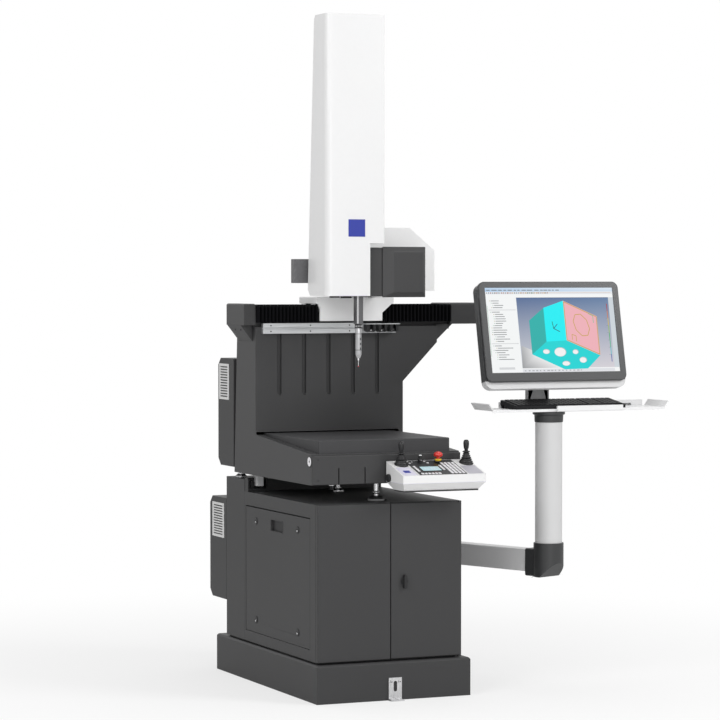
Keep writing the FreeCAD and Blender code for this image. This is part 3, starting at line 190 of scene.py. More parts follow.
def ground_metal(name, dark, light, roughness, stretch, metallic=1.0):
    """Metal with drawn streaks between two tones."""
    material, tree, skin, place = blank_material(name)
    grain = add(tree, "ShaderNodeGroup", node_tree=DRAWN)
    feed(grain, {"Stretch": stretch})
    ramp = add(tree, "ShaderNodeValToRGB")
    ramp.color_ramp.elements[0].position = 0.35
    ramp.color_ramp.elements[0].color = (*dark, 1)
    ramp.color_ramp.elements[1].position = 0.65
    ramp.color_ramp.elements[1].color = (*light, 1)
    rough = add(tree, "ShaderNodeMapRange")
    feed(rough, {"To Min": roughness * 0.8, "To Max": roughness * 1.2})
    raised = add(tree, "ShaderNodeBump")
    feed(raised, {"Strength": 0.2, "Distance": 0.00003})
    wire(tree, (place, grain.inputs["Place"]), (grain.outputs["Streak"], ramp.inputs["Fac"]),
         (grain.outputs["Streak"], rough.inputs["Value"]), (grain.outputs["Height"], raised.inputs["Height"]),
         (ramp.outputs["Color"], skin.inputs["Base Color"]),
         (rough.outputs["Result"], skin.inputs["Roughness"]),
         (raised.outputs["Normal"], skin.inputs["Normal"]))
    feed(skin, {"Metallic": metallic})
    return material


def lit_picture(name, layer):
    """The screen's own light, in the colours of the picture's faces."""
    material, tree, skin, place = blank_material(name)
    paint = add(tree, "ShaderNodeAttribute", attribute_name=layer)
    lines = add(tree, "ShaderNodeTexWave", bands_direction="Z")
    feed(lines, {"Scale": 900.0})
    dim = add(tree, "ShaderNodeMapRange")
    feed(dim, {"To Min": 0.985, "To Max": 1.0})
    glow = add(tree, "ShaderNodeVectorMath", operation="SCALE")
    wire(tree, (place, lines.inputs["Vector"]), (lines.outputs["Fac"], dim.inputs["Value"]),
         (paint.outputs["Color"], glow.inputs[0]), (dim.outputs["Result"], glow.inputs["Scale"]),
         (glow.outputs[0], skin.inputs["Emission Color"]))
    feed(skin, {"Emission Strength": 0.95, "Base Color": (0.01, 0.01, 0.012, 1), "Roughness": 0.4,
         "Specular IOR Level": 0.1})
    return material


def perforated(name, ground, dots, per_metre):
    """Dark sheet with rows of fine lighter holes."""
    material, tree, skin, place = blank_material(name)
    cells = add(tree, "ShaderNodeTexVoronoi")
    feed(cells, {"Scale": per_metre, "Randomness": 0.35})
    mask = add(tree, "ShaderNodeMapRange")
    feed(mask, {"From Min": 0.22, "From Max": 0.3})
    paint = add(tree, "ShaderNodeMix", data_type="RGBA")
    feed(paint, {6: (*dots, 1), 7: (*ground, 1)})
    raised = add(tree, "ShaderNodeBump")
    feed(raised, {"Distance": 0.0002})
    wire(tree, (place, cells.inputs["Vector"]), (cells.outputs["Distance"], mask.inputs["Value"]),
         (mask.outputs["Result"], paint.inputs[0]), (mask.outputs["Result"], raised.inputs["Height"]),
         (paint.outputs[2], skin.inputs["Base Color"]), (raised.outputs["Normal"], skin.inputs["Normal"]))
    feed(skin, {"Roughness": 0.5})
    return material


def two_tone(name, chin, back):
    """Monitor housing: pale below the edge of the bezel and dark behind it."""
    material, tree, skin, place = blank_material(name)
    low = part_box("monitor_bezel")[0]
    rise = add(tree, "ShaderNodeVectorMath", operation="DOT_PRODUCT")
    feed(rise, {1: (0.0, math.sin(SCREEN_TILT), math.cos(SCREEN_TILT))})
    edge = low[1] * math.sin(SCREEN_TILT) + (low[2] - 0.004) * math.cos(SCREEN_TILT)
    split = add(tree, "ShaderNodeMapRange")
    feed(split, {"From Min": edge, "From Max": edge + 0.002})
    paint = add(tree, "ShaderNodeMix", data_type="RGBA")
    feed(paint, {6: (*chin, 1), 7: (*back, 1)})
    shade = add(tree, "ShaderNodeGroup", node_tree=TONE)
    feed(shade, {"Strength": 0.03, "Roughness": 0.4})
    wire(tree, (place, rise.inputs[0]), (rise.outputs["Value"], split.inputs["Value"]),
         (split.outputs["Result"], paint.inputs[0]), (place, shade.inputs["Place"]),
         (paint.outputs[2], shade.inputs["Colour"]), (shade.outputs["Colour"], skin.inputs["Base Color"]),
         (shade.outputs["Roughness"], skin.inputs["Roughness"]))
    return material


# colour, roughness, grains per metre, pits, bump, tone, coat, specular
PAINTS = {
    "cabinet_paint": ((0.036, 0.036, 0.037), 0.5, 900, 0.45, 0.25, 0.1, 0.0, 0.35),
    "casting_paint": ((0.04, 0.04, 0.041), 0.46, 420, 0.2, 0.18, 0.12, 0.0, 0.35),
    "table_coat": ((0.038, 0.038, 0.04), 0.55, 650, 0.2, 0.15, 0.12, 0.0, 0.35),
    "white_lacquer": ((0.75, 0.75, 0.752), 0.34, 60, 0.0, 0.05, 0.012, 0.3),
    "console_shell": ((0.78, 0.78, 0.78), 0.38, 300, 0.1, 0.06, 0.02, 0.2),
    "console_plate": ((0.46, 0.45, 0.5), 0.45, 300, 0.1, 0.05, 0.03),
    "pale_paint": ((0.78, 0.78, 0.785), 0.42, 500, 0.2, 0.1, 0.03),
    "arm_paint": ((0.75, 0.75, 0.755), 0.45, 500, 0.2, 0.1, 0.04),
    "neck_paint": ((0.42, 0.42, 0.425), 0.4, 400, 0.1, 0.06, 0.04),
    "elbow_plastic": ((0.034, 0.035, 0.036), 0.42, 800, 0.5, 0.2, 0.08, 0.0, 0.4),
    "black_plastic": ((0.014, 0.014, 0.015), 0.4, 800, 0.5, 0.15, 0.1, 0.0, 0.35),
    "bellows_cloth": ((0.007, 0.007, 0.008), 0.8, 1400, 0.2, 0.4, 0.15, 0.0, 0.03),
    "boot_rubber": ((0.009, 0.009, 0.01), 0.42, 1200, 0.3, 0.2, 0.15, 0.0, 0.4),
    "face_film": ((0.018, 0.019, 0.02), 0.3, 500, 0.1, 0.05, 0.08, 0.3),
    "key_white": ((0.78, 0.77, 0.79), 0.4, 900, 0.2, 0.08, 0.03),
    "grille_plastic": ((0.72, 0.72, 0.715), 0.5, 700, 0.4, 0.15, 0.06),
    "bezel_gloss": ((0.038, 0.039, 0.041), 0.3, 900, 0.2, 0.04, 0.05, 0.0, 0.4),
    "glass_black": ((0.012, 0.012, 0.014), 0.3, 100, 0.0, 0.01, 0.03, 0.0, 0.2),
    "stop_red": ((0.62, 0.02, 0.012), 0.28, 400, 0.1, 0.05, 0.05, 0.5),
    "stop_yellow": ((0.75, 0.5, 0.03), 0.4, 400, 0.1, 0.05, 0.05),
    # near-black for dark parts, also used as painted shade in the wall grooves, the screw sockets and the
    # hood port
    "dark_and_painted_shade": ((0.012, 0.012, 0.013), 0.6, 600, 0.3, 0.2, 0.1),
    "ruby": ((0.45, 0.01, 0.02), 0.1, 400, 0.0, 0.01, 0.02, 0.6),
    "pole_paint": ((0.6, 0.6, 0.602), 0.42, 500, 0.2, 0.08, 0.02),
    # white lacquer lighter than the column's: painted light on the hood, and on the carriage in the column's
    # shade
    "lacquer_painted_lit": ((0.93, 0.93, 0.93), 0.4, 60, 0.0, 0.05, 0.01),
    "key_black": ((0.009, 0.009, 0.01), 0.5, 900, 0.3, 0.1, 0.1, 0.0, 0.15),
    "badge_blue": ((0.02, 0.035, 0.3), 0.35, 300, 0.1, 0.05, 0.05),
    "label_lilac": ((0.68, 0.66, 0.78), 0.45, 300, 0.1, 0.05, 0.03),
    "display_glow": ((0.55, 0.8, 0.85), 0.25, 300, 0.1, 0.02, 0.04, 0.2),
}
# dark streaks, light streaks, roughness, stretch of the grain, metallic
STEELS = {
    "ground_steel": ((0.09, 0.09, 0.093), (0.144, 0.144, 0.15), 0.38, (900, 900, 10), 0.7),
    "probe_steel": ((0.42, 0.42, 0.43), (0.6, 0.6, 0.61), 0.3, (900, 900, 30), 0.8),
    "bright_steel": ((0.6, 0.6, 0.61), (0.75, 0.75, 0.76), 0.25, (500, 500, 60)),
    "drawn_aluminium": ((0.5, 0.51, 0.52), (0.66, 0.67, 0.68), 0.42, (12, 900, 900), 0.75),
}
FINISH = {name: moulded(name, *row) for name, row in PAINTS.items()}
FINISH.update({name: ground_metal(name, *row) for name, row in STEELS.items()})
FINISH["louvre_box"] = perforated("louvre_box", (0.1, 0.1, 0.105), (0.24, 0.24, 0.25), 240.0)
FINISH["monitor_back"] = two_tone("monitor_back", (0.6, 0.6, 0.605), (0.06, 0.061, 0.063))
FINISH["screen_picture"] = lit_picture("screen_picture", "picture_colour")


# ---------------------------------------------------------------- geometry node trees
def tree_shell(name, sockets_in):
    tree = bpy.data.node_groups.new(name, "GeometryNodeTree")
    tree.interface.new_socket(name="Geometry", in_out="INPUT", socket_type="NodeSocketGeometry")
    for label, kind, value in sockets_in:
        socket = tree.interface.new_socket(name=label, in_out="INPUT", socket_type=kind)
        if value is not None:
            socket.default_value = value
    tree.interface.new_socket(name="Geometry", in_out="OUTPUT", socket_type="NodeSocketGeometry")
    return tree, tree.nodes.new("NodeGroupInput"), tree.nodes.new("NodeGroupOutput")


def clean_edges_tree():
    """Joins the loose faces of a solid and shades its round faces smooth."""
    tree, inner, outer = tree_shell("clean_edges", [("Sharp Angle", "NodeSocketFloat", math.radians(28))])
    joined = add(tree, "GeometryNodeMergeByDistance")
    feed(joined, {"Distance": 0.00002})
    angle = add(tree, "GeometryNodeInputMeshEdgeAngle")
    gentle = add(tree, "FunctionNodeCompare", data_type="FLOAT", operation="LESS_THAN")
    faces = add(tree, "GeometryNodeSetShadeSmooth", domain="FACE")
    edges = add(tree, "GeometryNodeSetShadeSmooth", domain="EDGE")
    wire(tree, (inner.outputs["Geometry"], joined.inputs["Geometry"]),
         (joined.outputs["Geometry"], faces.inputs["Geometry"]),
         (angle.outputs["Unsigned Angle"], gentle.inputs["A"]),
         (inner.outputs["Sharp Angle"], gentle.inputs["B"]),
         (faces.outputs["Geometry"], edges.inputs["Geometry"]),
         (gentle.outputs["Result"], edges.inputs["Shade Smooth"]),
         (edges.outputs["Geometry"], outer.inputs["Geometry"]))
    return tree


def screw_tree():
    """A cap screw with its socket at every point, turned to face along its own +Z after Facing; the socket is
    a dark hexagon, painted shade in place of a hole.
    """
    tree, inner, outer = tree_shell("screws", [
        ("Head Radius", "NodeSocketFloat", 0.004), ("Head Height", "NodeSocketFloat", 0.002),
        ("Facing", "NodeSocketVector", (0.0, 0.0, 0.0)), ("Head Material", "NodeSocketMaterial", None),
        ("Socket Material", "NodeSocketMaterial", None)])
    head = add(tree, "GeometryNodeMeshCylinder")
    feed(head, {"Vertices": 20})
    lift = add(tree, "ShaderNodeMath", operation="MULTIPLY")
    feed(lift, {1: 0.5})
    up = add(tree, "ShaderNodeCombineXYZ")
    set_head = add(tree, "GeometryNodeSetMaterial")
    move_head = add(tree, "GeometryNodeTransform")
    socket = add(tree, "GeometryNodeMeshCylinder")
    feed(socket, {"Vertices": 6})
    small = add(tree, "ShaderNodeMath", operation="MULTIPLY")
    feed(small, {1: 0.55})
    above = add(tree, "ShaderNodeMath", operation="MULTIPLY")
    feed(above, {1: 1.02})
    set_socket = add(tree, "GeometryNodeSetMaterial")
    move_socket = add(tree, "GeometryNodeTransform")
    up_socket = add(tree, "ShaderNodeCombineXYZ")
    join = add(tree, "GeometryNodeJoinGeometry")
    place = add(tree, "GeometryNodeInstanceOnPoints")
    real = add(tree, "GeometryNodeRealizeInstances")
    turn = add(tree, "FunctionNodeEulerToRotation")
    wire(tree, (inner.outputs["Head Radius"], head.inputs["Radius"]),
         (inner.outputs["Head Height"], head.inputs["Depth"]), (inner.outputs["Head Height"], lift.inputs[0]),
         (lift.outputs[0], up.inputs["Z"]), (head.outputs["Mesh"], set_head.inputs["Geometry"]),
         (inner.outputs["Head Material"], set_head.inputs["Material"]),
         (set_head.outputs["Geometry"], move_head.inputs["Geometry"]),
         (up.outputs[0], move_head.inputs["Translation"]), (inner.outputs["Head Radius"], small.inputs[0]),
         (small.outputs[0], socket.inputs["Radius"]), (inner.outputs["Head Height"], above.inputs[0]),
         (above.outputs[0], socket.inputs["Depth"]), (socket.outputs["Mesh"], set_socket.inputs["Geometry"]),
         (inner.outputs["Socket Material"], set_socket.inputs["Material"]),
         (set_socket.outputs["Geometry"], move_socket.inputs["Geometry"]),
         (lift.outputs[0], up_socket.inputs["Z"]), (up_socket.outputs[0], move_socket.inputs["Translation"]),
         (move_head.outputs["Geometry"], join.inputs["Geometry"]),
         (move_socket.outputs["Geometry"], join.inputs["Geometry"]),
         (inner.outputs["Geometry"], place.inputs["Points"]),
         (join.outputs["Geometry"], place.inputs["Instance"]),
         (inner.outputs["Facing"], turn.inputs["Euler"]),
         (turn.outputs["Rotation"], place.inputs["Rotation"]),
         (place.outputs["Instances"], real.inputs["Geometry"]),
         (real.outputs["Geometry"], outer.inputs["Geometry"]))
    return tree


def block_rows_tree():
    """A rectangular block at every point, with its size and turn; keys, slats and teeth."""
    tree, inner, outer = tree_shell("block_rows", [
        ("Block Size", "NodeSocketVector", (0.01, 0.01, 0.003)),
        ("Turn", "NodeSocketVector", (0.0, 0.0, 0.0)),
        ("Height Spread", "NodeSocketFloat", 0.0), ("Seed", "NodeSocketInt", 7),
        ("Block Material", "NodeSocketMaterial", None)])
    cube = add(tree, "GeometryNodeMeshCube")
    place = add(tree, "GeometryNodeInstanceOnPoints")
    turn = add(tree, "FunctionNodeEulerToRotation")
    spread = add(tree, "FunctionNodeRandomValue", data_type="FLOAT")
    low = add(tree, "ShaderNodeMath", operation="SUBTRACT")
    feed(low, {0: 1.0})
    size = add(tree, "ShaderNodeCombineXYZ")
    feed(size, {"X": 1.0, "Y": 1.0})
    real = add(tree, "GeometryNodeRealizeInstances")
    paint = add(tree, "GeometryNodeSetMaterial")
    wire(tree, (inner.outputs["Block Size"], cube.inputs["Size"]),
         (inner.outputs["Geometry"], place.inputs["Points"]),
         (cube.outputs["Mesh"], place.inputs["Instance"]), (inner.outputs["Turn"], turn.inputs["Euler"]),
         (turn.outputs["Rotation"], place.inputs["Rotation"]),
         (inner.outputs["Height Spread"], low.inputs[1]), (low.outputs[0], spread.inputs[2]))
    feed(spread, {3: 1.0})
    wire(tree, (inner.outputs["Seed"], spread.inputs["Seed"]), (spread.outputs[1], size.inputs["Z"]),
         (size.outputs[0], place.inputs["Scale"]), (place.outputs["Instances"], real.inputs["Geometry"]),
         (real.outputs["Geometry"], paint.inputs["Geometry"]),
         (inner.outputs["Block Material"], paint.inputs["Material"]),
         (paint.outputs["Geometry"], outer.inputs["Geometry"]))
    return tree


CLEAN = clean_edges_tree()
SCREWS = screw_tree()
BLOCKS = block_rows_tree()


# ---------------------------------------------------------------- helpers
def put(name, mesh, body):
    piece = bpy.data.objects.new(name, mesh)
    bpy.context.scene.collection.objects.link(piece)
    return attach(piece, body)


def from_tree(name, points, tree, values, body, bevel=0.0):
    """Runs a node tree on the points, and keeps its result as a plain mesh."""
    seeds = bpy.data.meshes.new(name + "_points")
    seeds.from_pydata([tuple(p) for p in points], [], [])
    carrier = bpy.data.objects.new(name + "_points", seeds)
    bpy.context.scene.collection.objects.link(carrier)
    run = carrier.modifiers.new("tree", "NODES")
    run.node_group = tree
    sockets = {s.name: s.identifier for s in tree.interface.items_tree if s.in_out == "INPUT"}
    for label, value in values.items():
        run[sockets[label]] = value
    graph = bpy.context.evaluated_depsgraph_get()
    mesh = bpy.data.meshes.new_from_object(carrier.evaluated_get(graph), depsgraph=graph)
    mesh.name = name
    bpy.data.objects.remove(carrier)
    piece = put(name, mesh, body)
    if bevel:
        rounded(piece, bevel, 1)
    return piece


def rounded(piece, width, segments=2, angle=35):
    bevel = piece.modifiers.new("soft_edges", "BEVEL")
    bevel.width = width
    bevel.segments = segments
    bevel.limit_method = "ANGLE"
    bevel.angle_limit = math.radians(angle)
    bevel.use_clamp_overlap = False
    bevel.harden_normals = True
    return piece


def dress(material, *nodes, edge=0.0, sharp=28):
    """Gives CAD nodes their finish, smooth round faces and a small broken edge."""
    for name in nodes:
        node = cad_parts[name]
        for holder in node.material_slots:
            holder.material = FINISH[material]
        run = node.modifiers.new("clean_edges", "NODES")
        run.node_group = CLEAN
        sockets = {s.name: s.identifier for s in CLEAN.interface.items_tree if s.in_out == "INPUT"}
        run[sockets["Sharp Angle"]] = math.radians(sharp)
        if edge:
            flat = node.modifiers.new("one_face_a_side", "DECIMATE")
            flat.decimate_type = "DISSOLVE"
            flat.angle_limit = math.radians(0.4)
            rounded(node, edge)


def mesh_of(name, build, *materials):
    """A mesh filled by build(bm), with the given finishes as its material slots."""
    mesh = bpy.data.meshes.new(name)
    bm = bmesh.new()
    build(bm)
    bmesh.ops.recalc_face_normals(bm, faces=bm.faces)
    bm.to_mesh(mesh)
    bm.free()
    for material in materials:
        mesh.materials.append(FINISH[material])
    return mesh


def block(bm, low, high, index=0, matrix=None):
    x0, y0, z0 = low
    x1, y1, z1 = high
    corners = [(x0, y0, z0), (x1, y0, z0), (x1, y1, z0), (x0, y1, z0),
               (x0, y0, z1), (x1, y0, z1), (x1, y1, z1), (x0, y1, z1)]
    verts = [bm.verts.new(matrix @ Vector(c) if matrix else c) for c in corners]
    for ids in ((3, 2, 1, 0), (4, 5, 6, 7), (0, 1, 5, 4), (1, 2, 6, 5), (2, 3, 7, 6), (3, 0, 4, 7)):
        bm.faces.new([verts[i] for i in ids]).material_index = index


def blocks_piece(name, body, material, boxes, edge=0.0006, matrix=None):
    def build(bm):
        for low, high in boxes:
            block(bm, low, high, 0, matrix)
    piece = put(name, mesh_of(name, build, material), body)
    return rounded(piece, edge) if edge else piece


def lathe(name, body, material, profile, centre, axis="Z", steps=48):
    """Turns (radius, height) pairs in millimetres round an axis; ends on the axis are closed."""
    turn = {"Z": Matrix(), "X": Matrix.Rotation(math.radians(90), 4, "Y"),
            "-X": Matrix.Rotation(math.radians(-90), 4, "Y"),
            "-Y": Matrix.Rotation(math.radians(90), 4, "X")}[axis]
    place = Matrix.Translation(centre) @ turn

    def build(bm):
        rings = []
        for r, h in profile:
            turns = [2 * math.pi * i / steps for i in range(steps if r > 1e-4 else 1)]
            rings.append([bm.verts.new(place @ Vector((r * MM * math.cos(a), r * MM * math.sin(a), h * MM)))
                          for a in turns])
        for a, b in zip(rings, rings[1:]):
            for i in range(steps):
                j = (i + 1) % steps
                corner = [a[i % len(a)], a[j % len(a)], b[j % len(b)], b[i % len(b)]]
                corner = list(dict.fromkeys(corner))
                if len(corner) > 2:
                    bm.faces.new(corner).smooth = True
        for edge in bm.edges:
            if len(edge.link_faces) == 2 and edge.calc_face_angle(0) > math.radians(30):
                edge.smooth = False
    return put(name, mesh_of(name, build, material), body)


def screws(name, body, points, radius, height, facing, head="bright_steel"):
    turns = {"front": (math.radians(90), 0, 0), "left": (0, math.radians(-90), 0),
             "right": (0, math.radians(90), 0), "back": (math.radians(-90), 0, 0), "up": (0, 0, 0)}
    return from_tree(name, points, SCREWS, {
        "Head Radius": radius, "Head Height": height, "Facing": turns[facing],
        "Head Material": FINISH[head], "Socket Material": FINISH["dark_and_painted_shade"]}, body)


def block_rows(name, points, size, material, body, seed, turn=(0.0, 0.0, 0.0), bevel=0.0):
    """Equal blocks at the points: keys, ribs, pins and lines."""
    return from_tree(name, points, BLOCKS, {
        "Block Size": size, "Turn": turn, "Height Spread": 0.0, "Seed": seed,
        "Block Material": FINISH[material]}, body, bevel)


# ---------------------------------------------------------------- camera, light and floor
CAMERA_PLACE = (-4.003, -9.394, 1.489)
CAMERA_DIP, CAMERA_TURN = math.radians(1.74), math.radians(-23.5)
LENS_LENGTH, SENSOR_WIDTH = 139.8, 36.0
# name, place, aim, size in metres, watts
LAMPS = (("key_right", (4.2, -4.6, 4.6), (0.2, 0, 1.2), 2.4, 180),
         ("fill_left", (-3.4, -2.6, 3.3), (-0.2, 0, 1.5), 2.2, 72),
         ("front_soft", (-1.2, -7.4, 1.7), (0.2, 0, 1.1), 3.0, 88),
         ("top_soft", (0.4, 1.2, 6.0), (0.2, 0, 1.0), 3.5, 70))
ROOM_LIGHT = 0.42
FADE_FROM, FADE_TO = 0.7, 3.2
HALF_FLOOR = 30


def camera_and_light():
    lens = bpy.data.cameras.new("front_left_view")
    lens.sensor_width = SENSOR_WIDTH
    lens.lens = LENS_LENGTH
    lens.clip_end = 60.0
    seat = bpy.data.objects.new("front_left_view", lens)
    seat.location = CAMERA_PLACE
    seat.rotation_euler = Euler((math.pi / 2 - CAMERA_DIP, 0, CAMERA_TURN))
    bpy.context.scene.collection.objects.link(seat)
    bpy.context.scene.camera = seat

    for name, place, target, size, power in LAMPS:
        data = bpy.data.lights.new(name, "AREA")
        data.size = size
        data.energy = power
        holder = bpy.data.objects.new(name, data)
        holder.location = place
        holder.rotation_euler = (Vector(target) - Vector(place)).to_track_quat("-Z", "Y").to_euler()
        bpy.context.scene.collection.objects.link(holder)

    world = bpy.data.worlds.new("studio")
    bpy.context.scene.world = world
    world.use_nodes = True
    tree = world.node_tree
    tree.nodes.clear()
    out = add(tree, "ShaderNodeOutputWorld")
    soft = add(tree, "ShaderNodeBackground")
    feed(soft, {"Color": (1, 1, 1, 1), "Strength": ROOM_LIGHT})
    seen = add(tree, "ShaderNodeBackground")
    feed(seen, {"Color": (1, 1, 1, 1), "Strength": 1.0})
    rays = add(tree, "ShaderNodeLightPath")
    first = add(tree, "ShaderNodeMath", operation="MAXIMUM")
    second = add(tree, "ShaderNodeMath", operation="MAXIMUM")
    pick = add(tree, "ShaderNodeMixShader")
    wire(tree, (rays.outputs["Is Camera Ray"], first.inputs[0]),
         (rays.outputs["Is Glossy Ray"], first.inputs[1]), (first.outputs[0], second.inputs[0]),
         (rays.outputs["Is Transmission Ray"], second.inputs[1]), (second.outputs[0], pick.inputs["Fac"]),
         (soft.outputs[0], pick.inputs[1]), (seen.outputs[0], pick.inputs[2]),
         (pick.outputs[0], out.inputs["Surface"]))
    bpy.context.scene.view_settings.view_transform = "Standard"


def studio_floor():
    """Pale floor that keeps the shadow near the machine and turns into plain white away from it."""
    def build(bm):
        corners = ((-1, -1), (1, -1), (1, 1), (-1, 1))
        bm.faces.new([bm.verts.new((i * HALF_FLOOR, j * HALF_FLOOR, 0)) for i, j in corners])
    material, tree, skin, place = blank_material("studio_floor")
    cloud = add(tree, "ShaderNodeTexNoise")
    feed(cloud, {"Scale": 0.6})
    tone = add(tree, "ShaderNodeMapRange")
    feed(tone, {"To Min": 0.93, "To Max": 0.95})
    far = add(tree, "ShaderNodeVectorMath", operation="LENGTH")
    fade = add(tree, "ShaderNodeMapRange", interpolation_type="SMOOTHSTEP")
    feed(fade, {"From Min": FADE_FROM, "From Max": FADE_TO, "To Min": FLOOR_WHITE})
    rays = add(tree, "ShaderNodeLightPath")
    share = add(tree, "ShaderNodeMath", operation="MULTIPLY")
    white = add(tree, "ShaderNodeEmission")
    pick = add(tree, "ShaderNodeMixShader")
    out = next(node for node in tree.nodes if node.type == "OUTPUT_MATERIAL")
    wire(tree, (place, cloud.inputs["Vector"]), (cloud.outputs["Fac"], tone.inputs["Value"]),
         (tone.outputs["Result"], skin.inputs["Base Color"]), (place, far.inputs[0]),
         (far.outputs["Value"], fade.inputs["Value"]), (fade.outputs["Result"], share.inputs[0]),
         (rays.outputs["Is Camera Ray"], share.inputs[1]), (share.outputs[0], pick.inputs["Fac"]),
         (skin.outputs[0], pick.inputs[1]), (white.outputs[0], pick.inputs[2]),
         (pick.outputs[0], out.inputs["Surface"]))
    feed(skin, {"Roughness": 0.9, "Specular IOR Level": 0.0})
    FINISH["studio_floor"] = material
    floor = bpy.data.objects.new("studio_floor", mesh_of("studio_floor", build, "studio_floor"))
    floor.location.z = -0.0005
    bpy.context.scene.collection.objects.link(floor)


camera_and_light()
studio_floor()


# ---------------------------------------------------------------- finishes of the solid parts
def dress_all():
    dress("cabinet_paint", "plinth", "cabinet_frame", "cabinet_front_panel", "door", "side_panel",
          "rear_column", "vent_boxes", "front_cover", "console_bracket", "arm_bracket", edge=0.0012)
    dress("casting_paint", "machine_casting", "y_beam", "x_guide_beam", "end_caps", edge=0.0014)
    dress("louvre_box", "side_box", edge=0.001)
    dress("table_coat", "table_plate", edge=0.001)
    dress("white_lacquer", "column_cover", sharp=20)
    # hood and carriage get the lightened lacquer as painted light
    dress("lacquer_painted_lit", "beam_hood", sharp=20)
    dress("console_shell", "console_housing", edge=0.0008)
    dress("monitor_back", "monitor_shell", edge=0.0008)
    dress("lacquer_painted_lit", "x_carriage", edge=0.001)
    dress("pale_paint", "keyboard_tray")
    dress("pole_paint", "pole")
    dress("arm_paint", "swing_arm", edge=0.002)
    dress("neck_paint", "monitor_neck", edge=0.001)
    dress("elbow_plastic", "arm_elbow", "pole_collar", edge=0.0015)
    dress("ground_steel", "ram", edge=0.0005)
    dress("probe_steel", "probe_head")
    dress("bright_steel", "floor_bracket", "support_feet", "stylus", "x_guide_rails", "y_guide_rails")
    dress("bright_steel", "guide_blocks", "ram_guides", "z_frame", edge=0.0008)
    dress("drawn_aluminium", "stylus_rack_rail", edge=0.0006)
    dress("black_plastic", "stylus_rack_holders", "door_handle", "side_knob", "mode_switch",
          "z_drive", "panel_locks", edge=0.0008)
    dress("key_black", "keyboard", edge=0.0012)
    dress("black_plastic", "joystick_left", "joystick_right", "gimbal_left", "gimbal_right",
          "stick_fork_left", "stick_fork_right")
    dress("face_film", "console_face")
    dress("glass_black", "screen_panel")
    dress("stop_red", "stop_button", sharp=40)
    dress("grille_plastic", "vent_grilles")


# ---------------------------------------------------------------- places read from the frame
def span(node):
    low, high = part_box(node)
    return Vector(low), Vector(high)


def front_of(node, x, z):
    """The first surface of a node met from the front at x and z."""
    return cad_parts[node].ray_cast(Vector((x, FAR_FRONT, z)), Vector((0, 1, 0)))[1].y


def skin_plate(name, node, body, material, x0, x1, z0, z1, thick=0.0008, steps=8):
    """A thin plate laid on a node's front, following its surface."""
    def build(bm):
        def sheet(lift):
            return [[bm.verts.new((x, front_of(node, x, z) - lift, z))
                     for x in (x0 + (x1 - x0) * i / steps for i in range(steps + 1))]
                    for z in (z0 + (z1 - z0) * k / steps for k in range(steps + 1))]
        fore, back = sheet(thick), sheet(0.0001)
        for k in range(steps):
            for i in range(steps):
                bm.faces.new((fore[k][i], fore[k][i + 1], fore[k + 1][i + 1], fore[k + 1][i]))
                bm.faces.new((back[k][i], back[k + 1][i], back[k + 1][i + 1], back[k][i + 1]))
        rim_fore = fore[0][:-1] + [row[-1] for row in fore[:-1]] + fore[-1][:0:-1] + [
            row[0] for row in reversed(fore[1:])]
        rim_back = back[0][:-1] + [row[-1] for row in back[:-1]] + back[-1][:0:-1] + [
            row[0] for row in reversed(back[1:])]
        for i in range(len(rim_fore)):
            j = (i + 1) % len(rim_fore)
            bm.faces.new((rim_back[i], rim_back[j], rim_fore[j], rim_fore[i]))
    return put(name, mesh_of(name, build, material), body)


# ---------------------------------------------------------------- bellows over the X guide
FOLD_PITCH = 14.5 * MM
FOLD_DEPTH = 15.0 * MM
FOLD_TOP = 7.0 / 15.0
CLOTH_T = 1.6 * MM
FOLD_CORNER = 6.0 * MM


def bellows(node):
    """Pleated cover: an upturned channel of folds spanning from the stand to the carriage."""
    low, high = span(node)
    folds = round((high.x - low.x) / FOLD_PITCH)
    pitch = (high.x - low.x) / folds
    stations = []
    for i in range(folds):
        x = low.x + pitch * i
        stations += [(x + pitch * share, depth) for share, depth in
                     ((0.06, FOLD_DEPTH), (0.34, 0.0), (0.64, 0.0), (0.92, FOLD_DEPTH))]

    def ring(x, inset):
        y0, y1, z1 = low.y + inset, high.y - inset, high.z - inset * FOLD_TOP
        c = FOLD_CORNER
        return [(x, y0, low.z), (x, y0, z1 - c), (x, y0 + c, z1), (x, y1 - c, z1), (x, y1, z1 - c),
                (x, y1, low.z)]

    def build(bm):
        outer = [[bm.verts.new(c) for c in ring(x, inset)] for x, inset in stations]
        inner = [[bm.verts.new(c) for c in ring(x, inset + CLOTH_T)] for x, inset in stations]
        last = len(stations) - 1
        for side, flip in ((outer, False), (inner, True)):
            for a, b in zip(side, side[1:]):
                for i in range(len(a) - 1):
                    face = [a[i], b[i], b[i + 1], a[i + 1]]
                    bm.faces.new(reversed(face) if flip else face)
        for k in range(last):
            for i in (0, -1):
                bm.faces.new((outer[k][i], inner[k][i], inner[k + 1][i], outer[k + 1][i]))
        for k in (0, last):
            for i in range(len(outer[k]) - 1):
                bm.faces.new((outer[k][i], outer[k][i + 1], inner[k][i + 1], inner[k][i]))
    piece = bpy.data.objects.new("pleated_" + node, mesh_of("pleated_" + node, build, "bellows_cloth"))
    bpy.context.scene.collection.objects.link(piece)
    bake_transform(piece)
    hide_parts(node)


# ---------------------------------------------------------------- console top
FACE_T = 1.6 * MM
face_low, face_high = span("console_face")
SLOPE = math.atan2(face_high.z - FACE_T - face_low.z, face_high.y - face_low.y)


def console_place(lift):
    """X to the right, Y up the slope from the front edge of the face, Z out of it."""
    start = Matrix.Translation((0, face_low.y, face_low.z))
    return start @ Matrix.Rotation(SLOPE, 4, "X") @ Matrix.Translation((0, 0, lift))


def up_slope(y):
    return (y - face_low.y) / math.cos(SLOPE)


